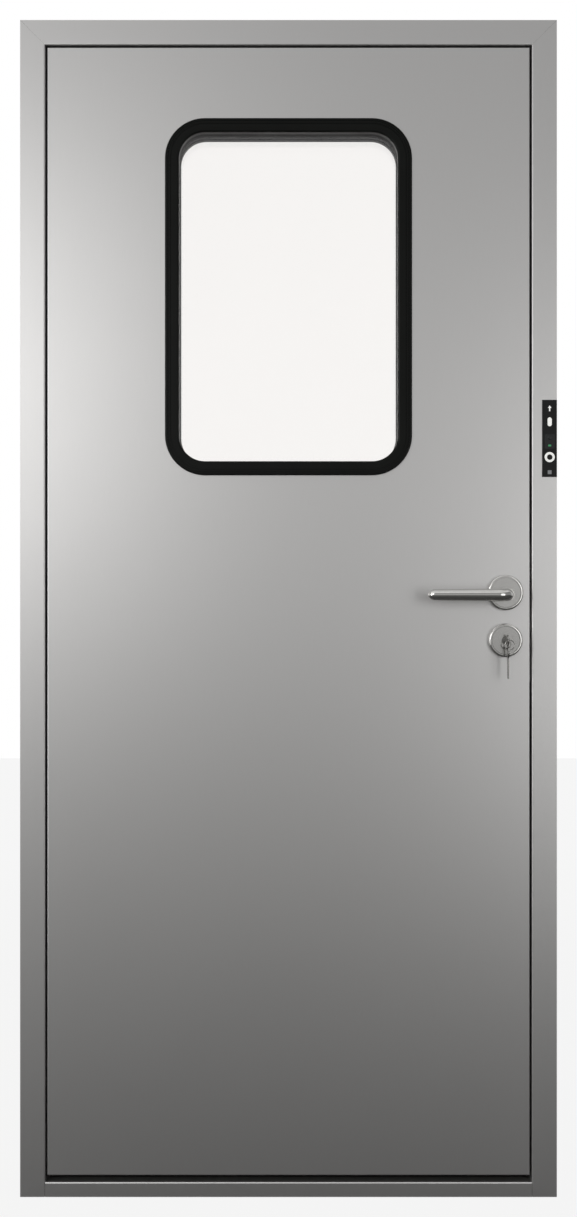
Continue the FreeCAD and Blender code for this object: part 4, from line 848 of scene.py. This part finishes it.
@dataclass
class Hinges:
    """Wings, pins, washers and screws of the three hinges."""

    finishes: Finishes
    screws: ScrewRows
    heights: tuple[float, ...] = (250 * MM, 1000 * MM, 1750 * MM)
    pitch: float = 30 * MM
    screw_shank: float = 12 * MM

    def build(self) -> None:
        """Dresses the hinges and replaces their plain screws."""
        dress(self.finishes.hinge, "hinge_frame_wings", "hinge_leaf_wings", "hinge_pins")
        dress(self.finishes.bronze, "hinge_washers")
        for body, node in (("leaf", "hinge_leaf_screws"), ("frame", "hinge_frame_screws")):
            low, high = (Vector(corner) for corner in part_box(node))
            points = [
                ((low.x + high.x) / 2, high.y, height + step * self.pitch)
                for height in self.heights
                for step in (-1, 0, 1)
            ]
            turn = (-math.pi / 2, 0.0, 0.0)
            name = node.replace("hinge_", "hinge_wing_")
            screw = Screw(length=self.screw_shank)
            piece = self.screws.place(name, points, turn, screw, self.finishes.hinge)
            settle(piece, body)
            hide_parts(node)


@dataclass
class SplitRing:
    """The key ring: nearly two turns of round wire."""

    finishes: Finishes
    turns: float = 1.9
    rise: float = 1.7 * MM
    wire: float = 0.8 * MM
    radius: float = 8.0 * MM
    steps_per_turn: int = 48
    wire_sides: int = 10

    def build(self) -> None:
        """Makes the ring in place of the plain one."""
        tree = new_geometry_tree("coil_of_wire", ("Turns", "Rise", "Wire", "Radius"), "Place")
        given = add_node(tree, "NodeGroupInput").outputs
        coil = add_node(
            tree,
            "GeometryNodeCurveSpiral",
            {
                "Resolution": self.steps_per_turn,
                "Rotations": given["Turns"],
                "Start Radius": given["Radius"],
                "End Radius": given["Radius"],
                "Height": given["Rise"],
            },
        )
        section = add_node(
            tree,
            "GeometryNodeCurvePrimitiveCircle",
            {"Resolution": self.wire_sides, "Radius": given["Wire"]},
        )
        tube = add_node(
            tree,
            "GeometryNodeCurveToMesh",
            {"Curve": coil.outputs["Curve"], "Profile Curve": section.outputs["Curve"], "Fill Caps": True},
        )
        back = add_node(tree, "ShaderNodeMath", {0: given["Rise"], 1: -0.5}, operation="MULTIPLY")
        centre = add_node(tree, "ShaderNodeCombineXYZ", {"Z": back.outputs[0]})
        centred = add_node(
            tree,
            "GeometryNodeTransform",
            {"Geometry": tube.outputs["Mesh"], "Translation": centre.outputs[0]},
        )
        stood = add_node(
            tree,
            "GeometryNodeTransform",
            {
                "Geometry": centred.outputs["Geometry"],
                "Translation": given["Place"],
                "Rotation": (math.pi / 2, 0.0, 0.0),
            },
        )
        end_geometry_tree(tree, stood.outputs["Geometry"], given["Material"])
        values = {
            "Turns": self.turns,
            "Rise": self.rise,
            "Wire": self.wire,
            "Radius": self.radius,
            "Place": tuple(middle("key_ring")),
            "Material": self.finishes.nickel,
        }
        ring = bake("split_key_ring", bpy.data.meshes.new("split_key_ring"), tree, values, smooth=True)
        settle(ring, "key_hang")
        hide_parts("key_ring")


@dataclass
class LockSet:
    """Case, bolts, cylinder, keys, levers and roses."""

    finishes: Finishes
    screws: ScrewRows
    forend_shank: float = 15.5 * MM
    cylinder_screw_above: float = 5 * MM  # foot of the cylinder to the screw that holds it

    def build(self) -> None:
        """Dresses the lock and adds its screws and the split ring."""
        dress(self.finishes.polished, "front_lever", "rear_lever", "lever_roses", "key_roses", "thumb_turn")
        dress(self.finishes.zinc, "lock_case", "lock_cover", "follower", "spindle", "rose_bolts")
        dress(self.finishes.zinc, "latch_bolt", "dead_bolt")
        dress(self.finishes.rail, "lock_forend")
        dress(self.finishes.spring, "return_springs")
        dress(self.finishes.nylon, "rose_bases")
        dress(self.finishes.nickel, "cylinder_body", "cylinder_plug", "cylinder_cam", "key", "spare_key")
        self._forend_screws()
        SplitRing(self.finishes).build()

    def _forend_screws(self) -> None:
        """Replaces the plain screws of the forend and the one that holds the cylinder."""
        low, high = (Vector(corner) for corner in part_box("lock_screws"))
        cylinder_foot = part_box("cylinder_body")[0][2]
        across = (low.y + high.y) / 2
        ends = [(high.x, across, z) for z in (low.z + Screw.head_radius, high.z - Screw.head_radius)]
        turn = (0.0, math.pi / 2, 0.0)
        screw = Screw(length=self.forend_shank)
        short = self.screws.place("forend_screws", ends, turn, screw, self.finishes.zinc)
        settle(short, "leaf")
        spot = (high.x, across, cylinder_foot + self.cylinder_screw_above)
        screw = Screw(length=high.x - low.x - Screw.head_depth)
        long = self.screws.place("cylinder_screw", [spot], turn, screw, self.finishes.zinc)
        settle(long, "leaf")
        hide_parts("lock_screws")


@dataclass
class ControlStrip:
    """The black strip on the lock jamb, with its lamp, display, lens and button."""

    finishes: Finishes
    mark_thickness: float = 0.08 * MM
    arrow_height: float = 10.0 * MM
    arrow_width: float = 6.0 * MM
    arrow_shaft: float = 2.0 * MM
    arrow_barb: float = 4.5 * MM  # point of the arrow to the foot of its head
    arrow_above: float = 51.0 * MM
    square_side: float = 6.5 * MM
    square_below: float = 57.5 * MM
    light_width: float = 5.0 * MM
    light_height: float = 3.0 * MM
    light_above: float = 5.5 * MM  # foot of the display to the middle of the light

    def build(self) -> None:
        """Dresses the strip and adds the arrow, the square and the indicator."""
        dress(self.finishes.abs, "control_box", "control_fascia", "control_button")
        # the ring's white has a weak glow: painted light, since the ring is no lamp
        dress(self.finishes.white, "button_ring")
        dress(self.finishes.lamp, "status_lamp")
        dress(self.finishes.display, "display_window", "sensor_lens")
        self._marks()

    def _marks(self) -> None:
        """Makes the printed arrow and square, and the green indicator on the display's window."""
        centre = middle("control_fascia")
        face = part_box("control_fascia")[0][1]
        half, shaft = self.arrow_width / 2, self.arrow_shaft / 2
        top = centre.z + self.arrow_above + self.arrow_height / 2
        shoulder, foot = top - self.arrow_barb, top - self.arrow_height
        shape = ((0, top), (half, shoulder), (shaft, shoulder), (shaft, foot))
        arrow = [*shape, *((-x, z) for x, z in reversed(shape[1:]))]
        # the arrow's white has a weak glow: painted light, since print is no lamp
        self._mark("arrow_mark", arrow, centre.x, face, self.finishes.white)

        square = self._oblong(self.square_side, self.square_side, centre.z - self.square_below)
        self._mark("square_mark", square, centre.x, face, self.finishes.grey)

        _, front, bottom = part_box("display_window")[0]
        light = self._oblong(self.light_width, self.light_height, bottom + self.light_above)
        self._mark("green_indicator", light, centre.x, front, self.finishes.green)

    @staticmethod
    def _oblong(width: float, height: float, level: float) -> list[tuple[float, float]]:
        """Gives the corners of an oblong about a level, in X and Z."""
        half, rise = width / 2, height / 2
        return [(x, level + z) for x, z in ((-half, -rise), (half, -rise), (half, rise), (-half, rise))]

    def _mark(
        self,
        name: str,
        outline: Sequence[tuple[float, float]],
        across: float,
        face: float,
        material: bpy.types.Material,
    ) -> None:
        """Makes one thin mark on a face of the strip.

        Args:
            name: the piece's name.
            outline: its corners, in X from its middle and in Z.
            across: the X of its middle.
            face: the Y of the face that it lies on.
            material: its finish.
        """
        made = bmesh.new()
        prism(made, [(across + x, z) for x, z in outline], face - self.mark_thickness, face)
        settle(mesh_object(name, made), "frame", material)


# ---------------------------------------------------------------- studio


@dataclass(frozen=True)
class Softbox:
    """A soft lamp: where it hangs, what it looks at, its size and its power."""

    name: str
    place: Point
    aim: Point
    width: float
    height: float
    power: float


@dataclass
class Studio:
    """Camera, pale floor, plain sky and soft lamps."""

    camera_place: Point = (0.0, -2.427, 1.0)
    lens: float = 41.78
    sensor: float = 36.0
    floor_reach: float = 14.0
    floor_colour: str = "#7c7c7a"
    floor_near: str = "#464645"  # darker by the door, which keeps the underside of the lever dark
    floor_near_ends: float = 1.5
    floor_far_starts: float = 3.2
    floor_roughness: float = 0.9
    floor_white_share: float = 0.9  # of white where it is looked at; the rest shows the shadow
    sky_left: float = 1.35
    sky_right: float = 0.65
    sky_white_starts: float = 0.1  # Y of a mirrored direction from which the backdrop is white
    sky_white_full: float = 0.5
    # degrees above the horizon, and the level there
    sky_by_height: tuple[tuple[float, float], ...] = (
        (-90.0, 0.14),
        (-20.0, 0.14),
        (-5.0, 0.30),
        (1.0, 0.57),
        (9.0, 0.60),
        (23.0, 0.33),
        (37.0, 0.50),
        (46.0, 1.40),
        (60.0, 0.70),
        (90.0, 0.90),
    )
    lamps: tuple[Softbox, ...] = (
        Softbox("key", (-1.55, -2.9, 1.85), (-0.4, 0.0, 1.3), 1.7, 1.5, 17.0),
        Softbox("fill", (1.85, -2.9, 1.10), (0.4, 0.0, 1.1), 1.5, 1.8, 15.5),
        Softbox("rim", (-2.6, -1.8, 1.1), (-0.4, 0.0, 1.1), 1.0, 2.4, 26.0),
    )

    def build(self) -> None:
        """Makes everything that isn't the object."""
        self._camera()
        self._sky()
        self._floor()
        for lamp in self.lamps:
            self._lamp(lamp)

    def _camera(self) -> None:
        """Sets the camera square to the door."""
        data = bpy.data.cameras.new("camera")
        data.sensor_width = self.sensor
        data.lens = self.lens
        camera = bpy.data.objects.new("camera", data)
        camera.location = self.camera_place
        camera.rotation_euler = (math.pi / 2, 0.0, 0.0)
        bpy.context.scene.collection.objects.link(camera)
        bpy.context.scene.camera = camera

    def _sky(self) -> None:
        """Makes a sky that is white where it is seen and behind the door, and graded where it lights."""
        world = bpy.data.worlds.new("studio")
        bpy.context.scene.world = world
        world.use_nodes = True
        tree = world.node_tree
        tree.nodes.clear()
        place = add_node(tree, "ShaderNodeTexCoord")
        parts = add_node(tree, "ShaderNodeSeparateXYZ", {0: place.outputs["Generated"]})
        rise = add_node(
            tree, "ShaderNodeMapRange", {"Value": parts.outputs["Z"], "From Min": -1.0, "From Max": 1.0}
        )
        ramp = add_node(tree, "ShaderNodeValToRGB", {"Fac": rise.outputs["Result"]})
        stops = ramp.color_ramp.elements
        while len(stops) < len(self.sky_by_height):
            stops.new(0.5)
        for stop, (height, value) in zip(stops, self.sky_by_height):
            stop.position = math.sin(math.radians(height)) / 2 + 0.5
            stop.color = (value, value, value, 1.0)
        side = add_node(
            tree,
            "ShaderNodeMapRange",
            {
                "Value": parts.outputs["X"],
                "From Min": -1.0,
                "From Max": 1.0,
                "To Min": self.sky_left,
                "To Max": self.sky_right,
            },
        )
        lit = add_node(
            tree,
            "ShaderNodeVectorMath",
            {0: ramp.outputs["Color"], "Scale": side.outputs["Result"]},
            operation="SCALE",
        )
        path = add_node(tree, "ShaderNodeLightPath")
        behind = add_node(
            tree,
            "ShaderNodeMapRange",
            {
                "Value": parts.outputs["Y"],
                "From Min": self.sky_white_starts,
                "From Max": self.sky_white_full,
            },
        )
        mirrored = add_node(
            tree,
            "ShaderNodeMath",
            {0: path.outputs["Is Glossy Ray"], 1: behind.outputs["Result"]},
            operation="MULTIPLY",
        )
        through = add_node(
            tree,
            "ShaderNodeMath",
            {0: mirrored.outputs[0], 1: path.outputs["Is Transmission Ray"]},
            operation="MAXIMUM",
        )
        seen = add_node(
            tree,
            "ShaderNodeMath",
            {0: path.outputs["Is Camera Ray"], 1: through.outputs[0]},
            operation="MAXIMUM",
        )
        mixed = add_node(
            tree,
            "ShaderNodeMix",
            {0: seen.outputs[0], 6: lit.outputs["Vector"], 7: (1.0, 1.0, 1.0, 1.0)},
            data_type="RGBA",
        )
        light = add_node(tree, "ShaderNodeBackground", {"Color": mixed.outputs[2], "Strength": 1.0})
        add_node(tree, "ShaderNodeOutputWorld", {"Surface": light.outputs[0]})

    def _floor(self) -> None:
        """Lays a pale floor that keeps the door's shadow and is nearly white where it is looked at."""
        made = bmesh.new()
        reach = self.floor_reach / 2
        around = ((-reach, -reach), (reach, -reach), (reach, reach), (-reach, reach))
        made.faces.new([made.verts.new((x, y, 0.0)) for x, y in around])
        floor = mesh_object("floor", made)
        material, tree, shader = new_material("pale studio floor")
        shader.inputs["Roughness"].default_value = self.floor_roughness
        place = add_node(tree, "ShaderNodeTexCoord")
        parts = add_node(tree, "ShaderNodeSeparateXYZ", {0: place.outputs["Object"]})
        away = add_node(tree, "ShaderNodeMath", {0: parts.outputs["Y"]}, operation="ABSOLUTE")
        far = add_node(
            tree,
            "ShaderNodeMapRange",
            {
                "Value": away.outputs[0],
                "From Min": self.floor_near_ends,
                "From Max": self.floor_far_starts,
            },
        )
        tint = add_node(
            tree,
            "ShaderNodeMix",
            {0: far.outputs["Result"], 6: linear(self.floor_near), 7: linear(self.floor_colour)},
            data_type="RGBA",
        )
        tree.links.new(tint.outputs[2], shader.inputs["Base Color"])
        white = add_node(tree, "ShaderNodeEmission", {"Color": (1.0, 1.0, 1.0, 1.0), "Strength": 1.0})
        path = add_node(tree, "ShaderNodeLightPath")
        seen = add_node(
            tree,
            "ShaderNodeMath",
            {0: path.outputs["Is Camera Ray"], 1: path.outputs["Is Transmission Ray"]},
            operation="MAXIMUM",
        )
        share = add_node(
            tree, "ShaderNodeMath", {0: seen.outputs[0], 1: self.floor_white_share}, operation="MULTIPLY"
        )
        both = add_node(
            tree,
            "ShaderNodeMixShader",
            {0: share.outputs[0], 1: shader.outputs["BSDF"], 2: white.outputs["Emission"]},
        )
        output = next(node for node in tree.nodes if node.type == "OUTPUT_MATERIAL")
        tree.links.new(both.outputs[0], output.inputs["Surface"])
        floor.data.materials.append(material)

    def _lamp(self, box: Softbox) -> None:
        """Hangs a soft lamp."""
        data = bpy.data.lights.new(box.name, "AREA")
        data.shape = "RECTANGLE"
        data.size = box.width
        data.size_y = box.height
        data.energy = box.power
        lamp = bpy.data.objects.new(box.name, data)
        lamp.location = box.place
        lamp.rotation_mode = "QUATERNION"
        lamp.rotation_quaternion = (Vector(box.aim) - Vector(box.place)).to_track_quat("-Z", "Y")
        bpy.context.scene.collection.objects.link(lamp)


def main() -> None:
    """Builds the studio and dresses every sub-assembly."""
    logging.basicConfig(level=logging.INFO, format="%(name)s: %(message)s")
    bpy.context.scene.view_settings.view_transform = "Standard"
    Studio().build()
    finishes = Finishes()
    screws = ScrewRows()
    for part in (
        FrameSet(finishes, screws),
        Leaf(finishes),
        Window(finishes),
        Hinges(finishes, screws),
        LockSet(finishes, screws),
        ControlStrip(finishes),
    ):
        log.info("building %s", type(part).__name__)
        part.build()


if __name__ == "__main__":
    main()
